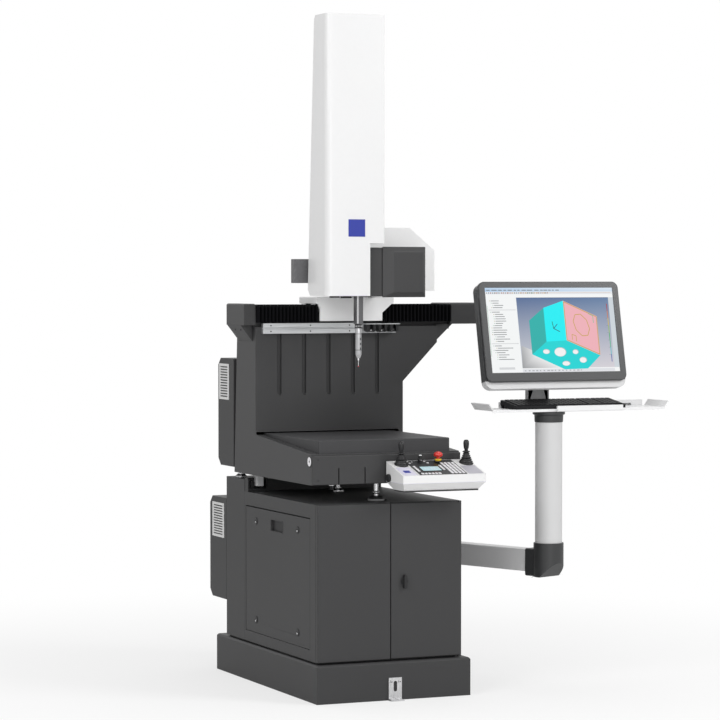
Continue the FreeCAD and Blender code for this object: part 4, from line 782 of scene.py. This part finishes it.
def console_blocks(name, material, boxes, lift, edge=0.0006):
    """Blocks given as (x0, x1, y0, y1, height) in millimetres, x and y as seen from above."""
    made = []
    for x0, x1, y0, y1, height in boxes:
        made.append(((x0 * MM, up_slope(y0 * MM), 0), (x1 * MM, up_slope(y1 * MM), height * MM)))
    return blocks_piece(name, "stand", material, made, edge, matrix=console_place(lift))


def console_trim():
    film = FACE_T
    console_blocks("face_ridges", "console_shell",
                   [(47.5, 51, -590, -454, 2.6), (235, 239, -590, -454, 2.6)], 0.0)
    console_blocks("display_frame", "dark_and_painted_shade", [(79, 156, -558, -514, 0.9)], film)
    console_blocks("display_window", "display_glow", [(82, 153, -555, -517, 1.3)], film, 0.0003)
    marks = [(92 + 12 * i, 100 + 12 * i, y, y + 2.4, 0.25) for i in range(4) for y in (-542, -533)]
    console_blocks("display_marks", "label_lilac", marks, film + 1.3 * MM, 0)
    keys = [(60, 68, -561 + 13.4 * i, -550 + 13.4 * i, 2.2) for i in range(4)]
    keys += [(62 + 13.2 * i, 71 + 13.2 * i, -587.5, -577, 2.2) for i in range(6)]
    keys += [(161, 169, -550 + 15.4 * i, -536.5 + 15.4 * i, 2.2) for i in range(3)]
    for column in range(4):
        x = 177 + 14.2 * column
        keys += [(x, x + 9.2, -586 + 21.5 * i, -567.5 + 21.5 * i, 2.4) for i in range(4)]
        keys.append((x, x + 9.2, -498, -484, 2.4))
    console_blocks("console_keys", "key_white", keys, film)
    small = [(56, 63, -466, -461, 1.5), (59, 66, -483, -477, 1.5), (121, 129, -468, -463, 1.5),
             (127, 136, -484, -478, 1.5), (74, 79, -470, -466, 1.2)]
    console_blocks("console_lamps", "key_white", small, film)
    console_blocks("left_label", "label_lilac", [(-7, 44, -588, -514, 0.7)], 0.0, 0.0003)
    console_blocks("left_badge", "badge_blue", [(6, 30, -566, -545, 0.5)], 0.7 * MM, 0)
    console_blocks("right_label", "console_plate", [(243, 299, -588, -512, 0.7)], 0.0, 0.0003)
    low, high = span("console_housing")
    blocks_piece("console_base_strip", "stand", "black_plastic",
                 [((low.x + 0.018, low.y + 0.026, low.z - 0.004), (high.x - 0.018, high.y - 0.03, low.z))])
    blocks_piece("console_seam", "stand", "label_lilac",
                 [((low.x - 0.0003, low.y - 0.00004, low.z + 0.0275),
                   (high.x + 0.0003, high.y, low.z + 0.0285))], 0)


def stop_collar():
    low, high = span("stop_button")
    x, y = (low.x + high.x) / 2, (low.y + high.y) / 2
    deck = high.z - 37.5 * MM
    lathe("stop_collar", "stand", "stop_yellow", [(6.4, -3), (7.5, 0.5), (11.5, 7), (12.4, 10), (11.8, 11.3),
          (6.4, 11.3), (6.4, -3)], (x, y, deck), steps=40)
    lathe("stop_guard", "stand", "black_plastic", [(8, -2), (15, 1), (15, 3), (9, 4), (8, -2)], (x, y, deck),
          steps=40)


def switch_cap():
    low, high = span("mode_switch")
    centre = ((low.x + high.x) / 2, (low.y + high.y) / 2, high.z)
    lathe("switch_cap", "mode_switch", "bright_steel", [(6.05, -3.2), (6.6, -3), (6.6, -0.4), (6, 0.6),
          (0, 1.4)], centre, steps=32)
    blocks_piece("switch_pointer", "mode_switch", "key_white",
                 [((centre[0] - 0.0007, centre[1] - 0.0095, high.z - 0.0205),
                   (centre[0] + 0.0007, centre[1] - 0.0088, high.z - 0.0165))], 0)


def knob_ribs():
    low, high = span("side_knob")
    y, z = (low.y + high.y) / 2, (low.z + high.z) / 2
    ribs = [(low.x + 0.0045, y + 0.0133 * math.cos(2 * math.pi * i / 24),
             z + 0.0133 * math.sin(2 * math.pi * i / 24)) for i in range(24)]
    block_rows("knob_ribs", ribs, (0.007, 0.0014, 0.0014), "black_plastic", "side_knob", 3)
    lathe("knob_face", "side_knob", "dark_and_painted_shade", [(0, 0.3), (9, 0.3), (9.5, 0)], (low.x, y, z), "-X", 32)


# ---------------------------------------------------------------- joystick boots
BOOT_LOW = ((25.5, 0.3), (25.5, 2.2), (20.0, 4.0), (23.5, 6.5), (23.0, 8.0), (17.0, 10.5), (20.5, 13.0),
            (20.0, 14.5), (15.5, 17.0))
BOOT_TOP = ((15.5, 17.0), (18.2, 19.5), (17.6, 21.0), (12.5, 23.5), (15.4, 26.0), (14.8, 27.5),
            (10.0, 30.0), (12.6, 32.0), (12.0, 34.0), (8.6, 37.0))
BOOT_WALL = 1.4
BOOT_STEPS = 40


def boot_half(name, x, y, profile, seat, sheared):
    """One half of a pleated boot, doubled inwards; its foot follows the slope of the console."""
    lean = math.tan(SLOPE)

    def build(bm):
        rings = []
        for inward in (0.0, BOOT_WALL):
            for r, h in profile if not inward else reversed(profile):
                ring = []
                for i in range(BOOT_STEPS):
                    a = 2 * math.pi * i / BOOT_STEPS
                    px, py = (r - inward) * math.cos(a) * MM, (r - inward) * math.sin(a) * MM
                    drop = py * lean * (1 - h / 17.0) if sheared else 0.0
                    ring.append(bm.verts.new((x + px, y + py, seat + h * MM + drop)))
                rings.append(ring)
        rings.append(rings[0])
        for a, b in zip(rings, rings[1:]):
            for i in range(BOOT_STEPS):
                j = (i + 1) % BOOT_STEPS
                bm.faces.new((a[i], a[j], b[j], b[i])).smooth = True
    mesh = mesh_of(name, build, "boot_rubber")
    piece = bpy.data.objects.new(name, mesh)
    bpy.context.scene.collection.objects.link(piece)
    return piece


def boots():
    halves = []
    for side in ("left", "right"):
        low, high = span("joystick_" + side)
        x, y = (low.x + high.x) / 2, (low.y + high.y) / 2
        seat = high.z - 82 * MM
        lower = boot_half("boot_lower_" + side, x, y, BOOT_LOW, seat, True)
        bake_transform(lower)
        upper = boot_half("boot_upper_" + side, x, y, BOOT_TOP, seat, False)
        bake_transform(upper)
        halves += [lower, upper]
        lathe("stick_ring_" + side, "joystick_" + side, "black_plastic", [(5.2, 37), (12.5, 38), (13.5, 40),
              (12.5, 42), (6.7, 44), (5.2, 37)], (x, y, seat), steps=32)
        lathe("stick_grip_" + side, "joystick_" + side, "black_plastic", [(6.4, 50), (9, 54), (10, 62),
              (10.4, 70), (9.6, 77), (6.5, 81.4), (3, 82.4), (0, 82.6)], (x, y, seat), steps=32)
    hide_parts("joystick_boots")


# ---------------------------------------------------------------- picture on the screen
def shade_of(red, green, blue):
    def linear(value):
        value /= 255.0
        return value / 12.92 if value <= 0.04045 else ((value + 0.055) / 1.055) ** 2.4
    return (linear(red), linear(green), linear(blue), 1.0)


INK, PAPER = (120, 124, 128), (246, 248, 248)
CYAN, TEAL, JADE, PINK, OCHRE = (0, 240, 246), (34, 176, 170), (0, 214, 214), (240, 178, 186), (206, 164, 92)
LAYER_STEP = 0.12


def screen_place():
    """Matrix with X to the right, Y up and Z out of the screen, half its width, and its height."""
    low, high = span("screen_panel")
    tall, deep = high.z - low.z, high.y - low.y
    height = (tall * math.cos(SCREEN_TILT) - deep * math.sin(SCREEN_TILT)) / math.cos(2 * SCREEN_TILT)
    foot = (0.5 * (low.x + high.x), low.y, high.z - height * math.cos(SCREEN_TILT))
    place = Matrix.Translation(foot) @ Matrix.Rotation(math.pi / 2 - SCREEN_TILT, 4, "X")
    return place, 0.5 * (high.x - low.x), height


RIM_SIDE, RIM_TOP, RIM_FOOT = 24.0 * MM, 22.0 * MM, 33.0 * MM
RIM_LEAD, RIM_DEEP, RIM_CORNER, RIM_ROUND = 3.2 * MM, 10.6 * MM, 24.0 * MM, 3.0 * MM


def monitor_frame():
    """Glossy frame of the screen with rounded corners, a soft outer edge and a deeper lower rim."""
    place, half, height = screen_place()
    x0, x1, y0, y1 = -half - RIM_SIDE, half + RIM_SIDE, -RIM_FOOT, height + RIM_TOP
    turns = 9

    def outline(bm, inset, lift):
        r = RIM_CORNER - inset
        left, right, foot, head = x0 + RIM_CORNER, x1 - RIM_CORNER, y0 + RIM_CORNER, y1 - RIM_CORNER
        rows = []
        for cx, cy, start in ((right, head, 0), (left, head, 90), (left, foot, 180), (right, foot, 270)):
            angles = [math.radians(start + 90 * i / turns) for i in range(turns + 1)]
            rows.append([bm.verts.new(place @ Vector((cx + r * math.cos(a), cy + r * math.sin(a), lift)))
                         for a in angles])
        return rows

    def opening(bm, lift):
        return [bm.verts.new(place @ Vector((x, y, lift)))
                for x, y in ((half, height), (-half, height), (-half, 0), (half, 0))]

    def ring(bm, corners, inner):
        for k in range(4):
            for a, b in zip(corners[k], corners[k][1:]):
                bm.faces.new((a, b, inner[k]))
            bm.faces.new((corners[k][-1], corners[(k + 1) % 4][0], inner[(k + 1) % 4], inner[k]))

    def build(bm):
        steps = [(RIM_ROUND * (1 - math.cos(a)), RIM_LEAD - RIM_ROUND * (1 - math.sin(a)))
                 for a in map(math.radians, (90, 60, 30, 0))]
        loops = [outline(bm, inset, lift) for inset, lift in steps] + [outline(bm, 0.0, -RIM_DEEP)]
        fore, back = opening(bm, RIM_LEAD), opening(bm, -RIM_DEEP)
        ring(bm, loops[0], fore)
        ring(bm, loops[-1], back)
        flat = [[vert for corner in loop for vert in corner] for loop in loops]
        for a, b in zip(flat, flat[1:]):
            for i in range(len(a)):
                j = (i + 1) % len(a)
                bm.faces.new((a[i], a[j], b[j], b[i])).smooth = True
        for k in range(4):
            j = (k + 1) % 4
            bm.faces.new((fore[k], fore[j], back[j], back[k]))
    piece = put("monitor_frame", mesh_of("monitor_frame", build, "bezel_gloss"), "monitor")
    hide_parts("monitor_bezel")


def screen_picture():
    """A made-up measuring program: lists at the left, a coloured block in the view, a scale."""
    place, half, height = screen_place()
    wide, top = half / MM - 0.4, height / MM - 0.4
    shapes = []

    def area(layer, colours, points):
        if len(colours) == 3 and not isinstance(colours[0], tuple):
            colours = [colours] * len(points)
        shapes.append((layer, colours, points))

    def bar(layer, colour, x0, x1, y0, y1):
        area(layer, colour, [(x0, y0), (x1, y0), (x1, y1), (x0, y1)])

    def disc(layer, colour, x, y, rx, ry, steps=28):
        turns = [2 * math.pi * i / steps for i in range(steps)]
        area(layer, colour, [(x + rx * math.cos(a), y + ry * math.sin(a)) for a in turns])

    def stroke(layer, colour, ends, width):
        for (xa, ya), (xb, yb) in zip(ends, ends[1:]):
            long = math.hypot(xb - xa, yb - ya)
            nx, ny = -(yb - ya) / long * width / 2, (xb - xa) / long * width / 2
            area(layer, colour, [(xa + nx, ya + ny), (xb + nx, yb + ny), (xb - nx, yb - ny),
                                 (xa - nx, ya - ny)])

    draw = random.Random(11)
    bar(0, PAPER, -wide, wide, 0.4, top)
    area(1, [(168, 200, 232), (206, 222, 238), (226, 236, 246), (196, 218, 240)],
         [(-wide, top - 14), (wide, top - 14), (wide, top), (-wide, top)])
    x = -wide + 6
    while x < 40:
        word = draw.uniform(8, 22)
        bar(2, INK, x, x + word, top - 10.5, top - 7.5)
        x += word + draw.uniform(3, 9)
    bar(1, (232, 236, 240), -wide, wide, top - 24, top - 14)
    bar(2, (208, 168, 140), -120, wide - 8, top - 19.6, top - 18.4)
    for i in range(34):
        tone = draw.choice([(150, 70, 60), (96, 120, 96), (110, 116, 140), (190, 150, 80), INK])
        x = -wide + 6 + i * 7.4
        bar(3, tone, x, x + draw.uniform(2.4, 4.8), top - 21.5, top - 17)
    left, view_top = -136.0, top - 36
    area(1, [(206, 208, 214), (214, 210, 216), (96, 124, 162), (84, 108, 150)],
         [(left, 16), (238, 16), (238, view_top), (left, view_top)])
    bar(2, (70, 92, 128), left, 238, view_top - 1.6, view_top)
    area(2, [(150, 152, 154), (236, 236, 236), (250, 250, 250), (178, 180, 182)],
         [(left, 16), (18, 16), (-62, 70), (left + 4, 98)])
    bar(1, (120, 170, 140), -wide + 3.6, -wide + 4.8, 60, view_top - 30)
    for i in range(27):
        y = view_top - 12 - i * 8.2
        indent = draw.choice((20, 26, 32))
        if i in (4, 19):
            bar(2, (196, 198, 200), -wide + 8, left - 6, y - 1.2, y + 0.6)
            continue
        bar(2, (150, 190, 160) if i % 3 else (190, 176, 110), -wide + indent - 6, -wide + indent - 3, y - 1,
            y + 1.6)
        bar(2, INK, -wide + indent, -wide + indent + draw.uniform(24, 62), y - 1.1, y + 1.3)
    bar(2, (214, 216, 218), -wide + 30, left - 30, 12, 20)
    bar(2, (226, 228, 232), left, 238, 1, 13)
    for i in range(16):
        x = left + 8 + i * 15
        bar(3, (168, 170, 176), x, x + draw.uniform(5, 11), 5, 8.4)
    base = [(-92, 66), (-30, 112), (52, 116), (184, 60), (128, 12), (34, 10)]
    area(3, TEAL, [(-92, 66), (-30, 112), (-30, 236), (-92, 190)])
    area(3, CYAN, [(-30, 112), (52, 116), (52, 262), (-30, 236)])
    area(3, PINK, [(52, 116), (184, 60), (184, 204), (52, 262)])
    area(3, JADE, base)
    stroke(4, OCHRE, [(54, 118), (182, 64), (182, 202), (54, 258), (54, 118)], 3.2)
    ring = [(118 + 32 * math.cos(a), 172 + 40 * math.sin(a) - 14 * math.cos(a))
            for a in [math.pi * i / 4 for i in range(9)]]
    stroke(4, OCHRE, ring, 3.0)
    stroke(4, OCHRE, [(76, 118), (76, 138), (92, 132), (92, 112)], 2.6)
    stroke(4, (90, 190, 150), [(150, 214), (168, 206), (168, 180)], 2.2)
    for x, y, rx, ry in ((-34, 76, 14, 9), (22, 74, 24, 17), (84, 74, 12, 9), (112, 44, 15, 11),
                         (42, 32, 16, 9)):
        disc(4, (188, 190, 194), x, y, rx, ry)
        disc(5, (246, 244, 244), x - 1, y - 0.8, rx - 1.6, ry - 1.4)
    stroke(5, (30, 120, 60), [(4, 160), (0, 186)], 2.6)
    stroke(5, (30, 60, 120), [(4, 160), (20, 176)], 2.6)
    stroke(5, (40, 44, 52), [(4, 160), (28, 148)], 2.6)
    bar(1, (206, 214, 220), 238, wide, 16, view_top)
    scale = [(170, 60, 60), (206, 120, 60), (212, 180, 70), (150, 190, 80), (60, 176, 96), (50, 180, 130),
             (70, 190, 200), (60, 90, 170)]
    step = (view_top - 60) / len(scale)
    for i, tone in enumerate(scale):
        y = view_top - 24 - i * step
        bar(3, tone, 228, 231, y - step, y)
        bar(3, (120, 128, 140), 221, 227, y - 1, y)

    mesh = bpy.data.meshes.new("screen_picture")
    bm = bmesh.new()
    paint = bm.loops.layers.float_color.new("picture_colour")
    for layer, colours, points in shapes:
        lift = (0.15 + layer * LAYER_STEP) * MM
        verts = [bm.verts.new(place @ Vector((x * MM, y * MM, lift))) for x, y in points]
        face = bm.faces.new(verts)
        face.normal_update()
        if face.normal.y > 0:
            face.normal_flip()
        tints = {vert: shade_of(*tone) for vert, tone in zip(verts, colours)}
        for loop in face.loops:
            loop[paint] = tints[loop.vert]
    bm.to_mesh(mesh)
    bm.free()
    mesh.materials.append(FINISH["screen_picture"])
    put("screen_picture", mesh, "monitor")


# ---------------------------------------------------------------- tray and keyboard
KEY_ROWS = 6
KEY_STEP = 19.0
KEY_GROUPS = ((0, 15), (290, 3), (352, 4))


def keyboard_keys():
    low = span("keyboard")[0]
    rise = math.atan2(17.0, 118.5)
    turn = Matrix.Rotation(rise, 4, "X")
    start = Vector((low.x + 0.0095, low.y + 0.013, low.z + 0.0145))
    points = []
    for row in range(KEY_ROWS):
        for offset, count in KEY_GROUPS:
            for column in range(count):
                step = turn @ Vector(((offset + column * KEY_STEP + 8) * MM, row * 18.6 * MM, 0.0012))
                points.append(start + step)
    block_rows("keyboard_keys", points, (0.0162, 0.0152, 0.0042), "key_black", "tray", 5,
               (rise, 0.0, 0.0), 0.0009)


def tray_trim():
    low, high = span("keyboard_tray")
    inner_left, inner_right = low.x + 0.016, high.x - 0.016
    base = low.z + 0.006
    blocks_piece("tray_rear_lip", "tray", "pale_paint",
                 [((inner_left + 0.095, high.y - 0.003, base + 0.003),
                   (inner_right - 0.012, high.y, base + 0.025))])
    neck_low, neck_high = span("monitor_neck")
    blocks_piece("neck_foot", "tray", "neck_paint",
                 [((neck_low.x - 0.012, neck_low.y + 0.04, base + 0.004),
                   (neck_high.x + 0.012, neck_high.y - 0.0005, base + 0.0075))])
    screws("neck_foot_screws", "tray",
           [(x, neck_high.y - 0.011, base + 0.0075) for x in (neck_low.x - 0.0065, neck_high.x + 0.0065)],
           0.0035, 0.0025, "up")


# ---------------------------------------------------------------- small parts of the machine
def rack_trim():
    low, high = span("stylus_rack_rail")
    end = span("stylus_rack_holders")[0].x - 0.006
    xs = [low.x + 0.03 + 0.156 * i for i in range(3)]
    front = front_of("stylus_rack_rail", low.x + 0.1, low.z + 0.006)
    points = [(x, front, z) for x in xs for z in (low.z + 0.0085, high.z - 0.0085)]
    screws("rack_screws", "stand", points, 0.0026, 0.0007, "front", "dark_and_painted_shade")
    blocks_piece("rack_joint", "stand", "dark_and_painted_shade",
                 [((end - 0.001, front - 0.0003, low.z), (end, front, high.z))], 0)
    holder_low = span("stylus_rack_holders")[0]
    for i in range(3):
        x = holder_low.x + 0.021 + 0.042 * i
        lathe("rack_clip_%d" % (i + 1), "stand", "black_plastic", [(0, 0), (15, 0), (17.5, 2), (17.5, 9),
              (15, 11), (13, 11), (13, 19), (10, 22), (0, 22)],
              (x, holder_low.y + 0.022, holder_low.z + 0.001), steps=36)
        lathe("rack_clip_pin_%d" % (i + 1), "stand", "neck_paint", [(0, 0), (3.2, 0), (3.2, 3), (2, 4),
              (0, 4)], (x - 0.006, holder_low.y + 0.0045, holder_low.z + 0.006), "-Y", 20)


def cover_trim():
    low, high = span("front_cover")
    screws("cover_screws", "stand",
           [(low.x + 0.0215, low.y, z) for z in (low.z + 0.0165, high.z - 0.0135)], 0.0034, 0.0008, "front",
           "dark_and_painted_shade")
    casting = span("machine_casting")[0]
    y, z = low.y + 0.02, low.z + 0.0815
    lathe("side_plug_ring", "stand", "black_plastic", [(15, 0), (20.5, 0), (20.5, 1.2), (15, 1.2), (15, 0)],
          (casting.x, y + 0.006, z), "-X", 40)
    lathe("side_plug", "stand", "key_white", [(3.5, -0.5), (3.5, 1.6), (14, 2), (16.4, 1.2), (16.4, 0)],
          (casting.x, y + 0.006, z), "-X", 40)
    lathe("side_plug_eye", "stand", "dark_and_painted_shade", [(0, 1.4), (3.6, 1.4), (3.6, 0)],
          (casting.x, y + 0.006, z), "-X", 24)


def foot_trim():
    x, y, seat = 0.0, -0.33, span("support_feet")[0].z
    lathe("foot_dish", "stand", "neck_paint", [(22.3, 0.6), (26, 0.6), (31, 11), (30, 12.5), (22.3, 12.5),
          (22.3, 0.6)], (x, y, seat), steps=48)
    lathe("foot_pad", "stand", "black_plastic", [(13.6, 12.6), (28, 12.6), (26, 20), (13.6, 24),
          (13.6, 12.6)], (x, y, seat), steps=48)
    lathe("foot_nut", "stand", "bright_steel", [(8.2, 30), (13, 31), (13, 40), (8.2, 41), (8.2, 30)],
          (x, y, seat), steps=6)
    lathe("cover_stud", "stand", "bright_steel", [(0, 0), (7, 0.5), (7, 13), (10, 14), (10, 19.8),
          (0, 19.8)], (span("front_cover")[0].x + 0.09, -0.4, span("front_cover")[0].z - 0.02), steps=24)


def rear_leveller():
    """Black bracket with a grey wedge on the rear left corner of the cabinet top."""
    cabinet = span("cabinet_frame")
    x0, y1, z0 = cabinet[0].x + 0.001, cabinet[1].y - 0.001, cabinet[1].z
    wide, deep, tall = 0.078, 0.034, 0.05
    blocks_piece("leveller_bracket", "stand", "black_plastic", [
        ((x0, y1 - deep, z0), (x0 + wide, y1, z0 + 0.012)),
        ((x0, y1 - 0.006, z0 + 0.012), (x0 + wide, y1, z0 + tall)),
        ((x0, y1 - deep, z0 + 0.012), (x0 + 0.006, y1 - 0.006, z0 + tall)),
        ((x0 + wide - 0.006, y1 - deep, z0 + 0.012), (x0 + wide, y1 - 0.006, z0 + tall)),
        ((x0 + 0.014, y1 - 0.026, z0 + 0.012), (x0 + 0.026, y1 - 0.006, z0 + 0.04))])
    blocks_piece("leveller_wedge", "stand", "arm_paint",
                 [((x0 + 0.034, y1 - deep - 0.002, z0 + 0.02), (x0 + 0.062, y1 - 0.008, z0 + 0.062))], 0.002)
    lathe("leveller_screw", "stand", "bright_steel", [(0, 0), (3, 0), (3, 30), (5, 31), (5, 36), (0, 36)],
          (x0 + 0.048, y1 - 0.02, z0 + 0.012), steps=20)


def lock_trim():
    low, high = span("panel_locks")
    y_places = (low.y + 0.011, high.y - 0.011)
    z_places = (low.z + 0.011, high.z - 0.011)
    for i, (y, z) in enumerate((y, z) for y in y_places for z in z_places):
        lathe("lock_ring_%d" % (i + 1), "side_panel", "dark_and_painted_shade", [(11.3, 0), (14, 0), (14, 1),
              (11.3, 1.3), (11.3, 0)], (span("side_panel")[0].x, y, z), "-X", 32)
        lathe("lock_eye_%d" % (i + 1), "side_panel", "bright_steel", [(0, 0), (3.4, 0), (3.4, 1.2),
              (2.6, 1.8), (0, 1.8)], (low.x, y, z - 0.004), "-X", 20)


def pull_cup():
    panel = span("side_panel")[0]
    y0, y1, z0, z1 = -0.148, -0.037, 0.568, 0.607
    x = panel.x
    blocks_piece("pull_frame", "side_panel", "cabinet_paint", [
        ((x - 0.0012, y0 - 0.003, z1), (x, y1 + 0.003, z1 + 0.003)),
        ((x - 0.0012, y0 - 0.003, z0 - 0.003), (x, y1 + 0.003, z0)),
        ((x - 0.0012, y0 - 0.003, z0), (x, y0, z1)),
        ((x - 0.0012, y1, z0), (x, y1 + 0.003, z1))], 0.0004)
    blocks_piece("pull_floor", "side_panel", "dark_and_painted_shade",
                 [((x + 0.0085, y0 + 0.001, z0 + 0.001), (x + 0.0095, y1 - 0.001, z1 - 0.001))], 0)


def column_trim():
    low = span("column_cover")[0]
    skin_plate("column_badge", "column_cover", "y_slide", "badge_blue", -0.059, 0.005, 1.626, 1.688)
    skin_plate("column_foot_line", "column_cover", "y_slide", "label_lilac", -0.1, 0.078, low.z + 0.0015,
               low.z + 0.003, 0.0004)
    blocks_piece("column_brush", "y_slide", "dark_and_painted_shade",
                 [((-0.12, -0.2, low.z - 0.006), (-0.085, -0.19, low.z + 0.004)),
                  ((-0.06, -0.17, low.z - 0.008), (-0.025, -0.15, low.z + 0.004))], 0)
    # bright strip on the ram's front near its left edge: a painted reflection of the light on the ram's
    # chamfer
    blocks_piece("ram_painted_reflection", "ram", "bright_steel",
                 [((RAM_LEFT + 0.003, RAM_FRONT - 0.0006, RAM_FOOT + 0.002),
                   (RAM_LEFT + 0.0085, RAM_FRONT, RAM_HEAD))], 0.0002)


ram_low, ram_high = span("ram")
RAM_LEFT, RAM_FRONT, RAM_FOOT, RAM_HEAD = ram_low.x, ram_low.y, ram_low.z, ram_high.z - 0.01


BALL = 2.62


def probe_trim():
    low, high = span("probe_head")
    x, y = (low.x + high.x) / 2, (low.y + high.y) / 2
    top = high.z
    lathe("probe_joint", "ram", "black_plastic", [(11, -14.5), (13.3, -14), (13.3, -1), (11, -0.6)],
          (x, y, top), steps=48)
    points = [(x + 13.3 * MM * math.cos(a), y + 13.3 * MM * math.sin(a), top - 7.5 * MM)
              for a in [2 * math.pi * i / 12 for i in range(12)]]
    block_rows("probe_joint_pins", points, (0.0022, 0.0022, 0.006), "bright_steel", "ram", 2)
    for name, drop in (("probe_ring_upper", 34.0), ("probe_ring_lower", 92.0)):
        lathe(name, "ram", "dark_and_painted_shade", [(11.2, -drop), (11.75, -drop - 0.4), (11.75, -drop - 2),
              (11.2, -drop - 2.4)], (x, y, top), steps=48)
    for i in range(3):
        blocks_piece("probe_mark_%d" % (i + 1), "ram", "dark_and_painted_shade",
                     [((x + 0.0015, y - 0.0119, top - (0.058 + 0.017 * i)),
                       (x + 0.0055, y - 0.0105, top - (0.05 + 0.017 * i)))], 0)
    stylus = span("stylus")[0]
    ball = [math.radians(-75 + 15 * i) for i in range(11)]
    lathe("ruby_ball", "ram", "ruby",
          [(0, -BALL)] + [(BALL * math.cos(a), BALL * math.sin(a)) for a in ball] + [(0, BALL)],
          (x, y, stylus.z + 2.5 * MM), steps=24)


def hood_trim():
    low, high = span("beam_hood")
    z = high.z - 0.05
    x = low.x + 0.075
    y = front_of("beam_hood", x, z)
    # dark plate on the hood's front: painted shade of a small hole
    blocks_piece("hood_port_painted_shade", "y_slide", "dark_and_painted_shade",
                 [((x, y - 0.0006, z), (x + 0.02, y, z + 0.022))], 0.0004)


DRIVE_FRONT, DRIVE_FLANK, DRIVE_LIP, DRIVE_RIGHT, DRIVE_EDGE = 43 * MM, 84 * MM, 14.6 * MM, 13.5 * MM, 17 * MM


def drive_housing():
    """Dark housing with broad chamfers round its front; its left flank lies on the beam's nose."""
    low, high = span("drive_cover")
    x1 = high.x + 0.005
    lip = low.y + DRIVE_LIP

    def frame_at(bm, xa, xb, za, zb, y):
        return [bm.verts.new((x, y, z)) for x, z in ((xa, za), (xb, za), (xb, zb), (xa, zb))]

    def build(bm):
        z0, z1 = low.z - 0.001, high.z + 0.001
        front, flank, side = low.x - DRIVE_FRONT, low.x - DRIVE_FLANK, low.x + 0.0006
        rings = [frame_at(bm, front, x1 - DRIVE_RIGHT, low.z + DRIVE_EDGE, high.z - DRIVE_EDGE, low.y),
                 frame_at(bm, flank, x1, z0, z1, lip - 0.003), frame_at(bm, flank, x1, z0, z1, lip),
                 frame_at(bm, side, x1, z0, z1, lip + 0.0002), frame_at(bm, side, x1, z0, z1, high.y)]
        for a, b in zip(rings, rings[1:]):
            for i in range(4):
                j = (i + 1) % 4
                bm.faces.new((a[i], a[j], b[j], b[i]))
        bm.faces.new(list(reversed(rings[0])))
        bm.faces.new(rings[-1])
    piece = put("drive_housing", mesh_of("drive_housing", build, "casting_paint"), "y_slide")
    rounded(piece, 0.0022, 3, 12)
    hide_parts("drive_cover")


GROOVE_FIRST, GROOVE_STEP, GROOVE_FOOT, WALL_FRONT = -0.1956, 0.0975, 1.056, 0.1035


def wall_groove_painted_shade():
    """Painted shade: dark strips along both inner edges of the five grooves in the wall."""
    top = span("machine_casting")[1].z
    edges = [(GROOVE_FIRST + GROOVE_STEP * i + side * 0.0071, WALL_FRONT, (GROOVE_FOOT + top) / 2 - 0.001)
             for i in range(5) for side in (-1, 1)]
    block_rows("groove_painted_shade", edges, (0.0013, 0.0068, top - GROOVE_FOOT - 0.004), "dark_and_painted_shade", "stand", 4)


def cap_trim():
    low = span("end_caps")[0]
    screws("cap_screws", "stand", [(low.x + 0.012, y, low.z + 0.045) for y in (0.16, 0.215)], 0.004, 0.001,
           "left", "dark_and_painted_shade")


def plinth_trim():
    low, high = span("floor_bracket")
    x = (low.x + high.x) / 2
    screws("bracket_screws", "stand", [(x + side, high.y - 0.0085, 0.066) for side in (-0.016, 0.016)],
           0.0045, 0.003, "front")


dress_all()
bellows("bellows_left")
bellows("bellows_right")
console_trim()
stop_collar()
switch_cap()
knob_ribs()
boots()
monitor_frame()
screen_picture()
keyboard_keys()
tray_trim()
rack_trim()
cover_trim()
foot_trim()
rear_leveller()
lock_trim()
pull_cup()
column_trim()
probe_trim()
hood_trim()
drive_housing()
wall_groove_painted_shade()
cap_trim()
plinth_trim()
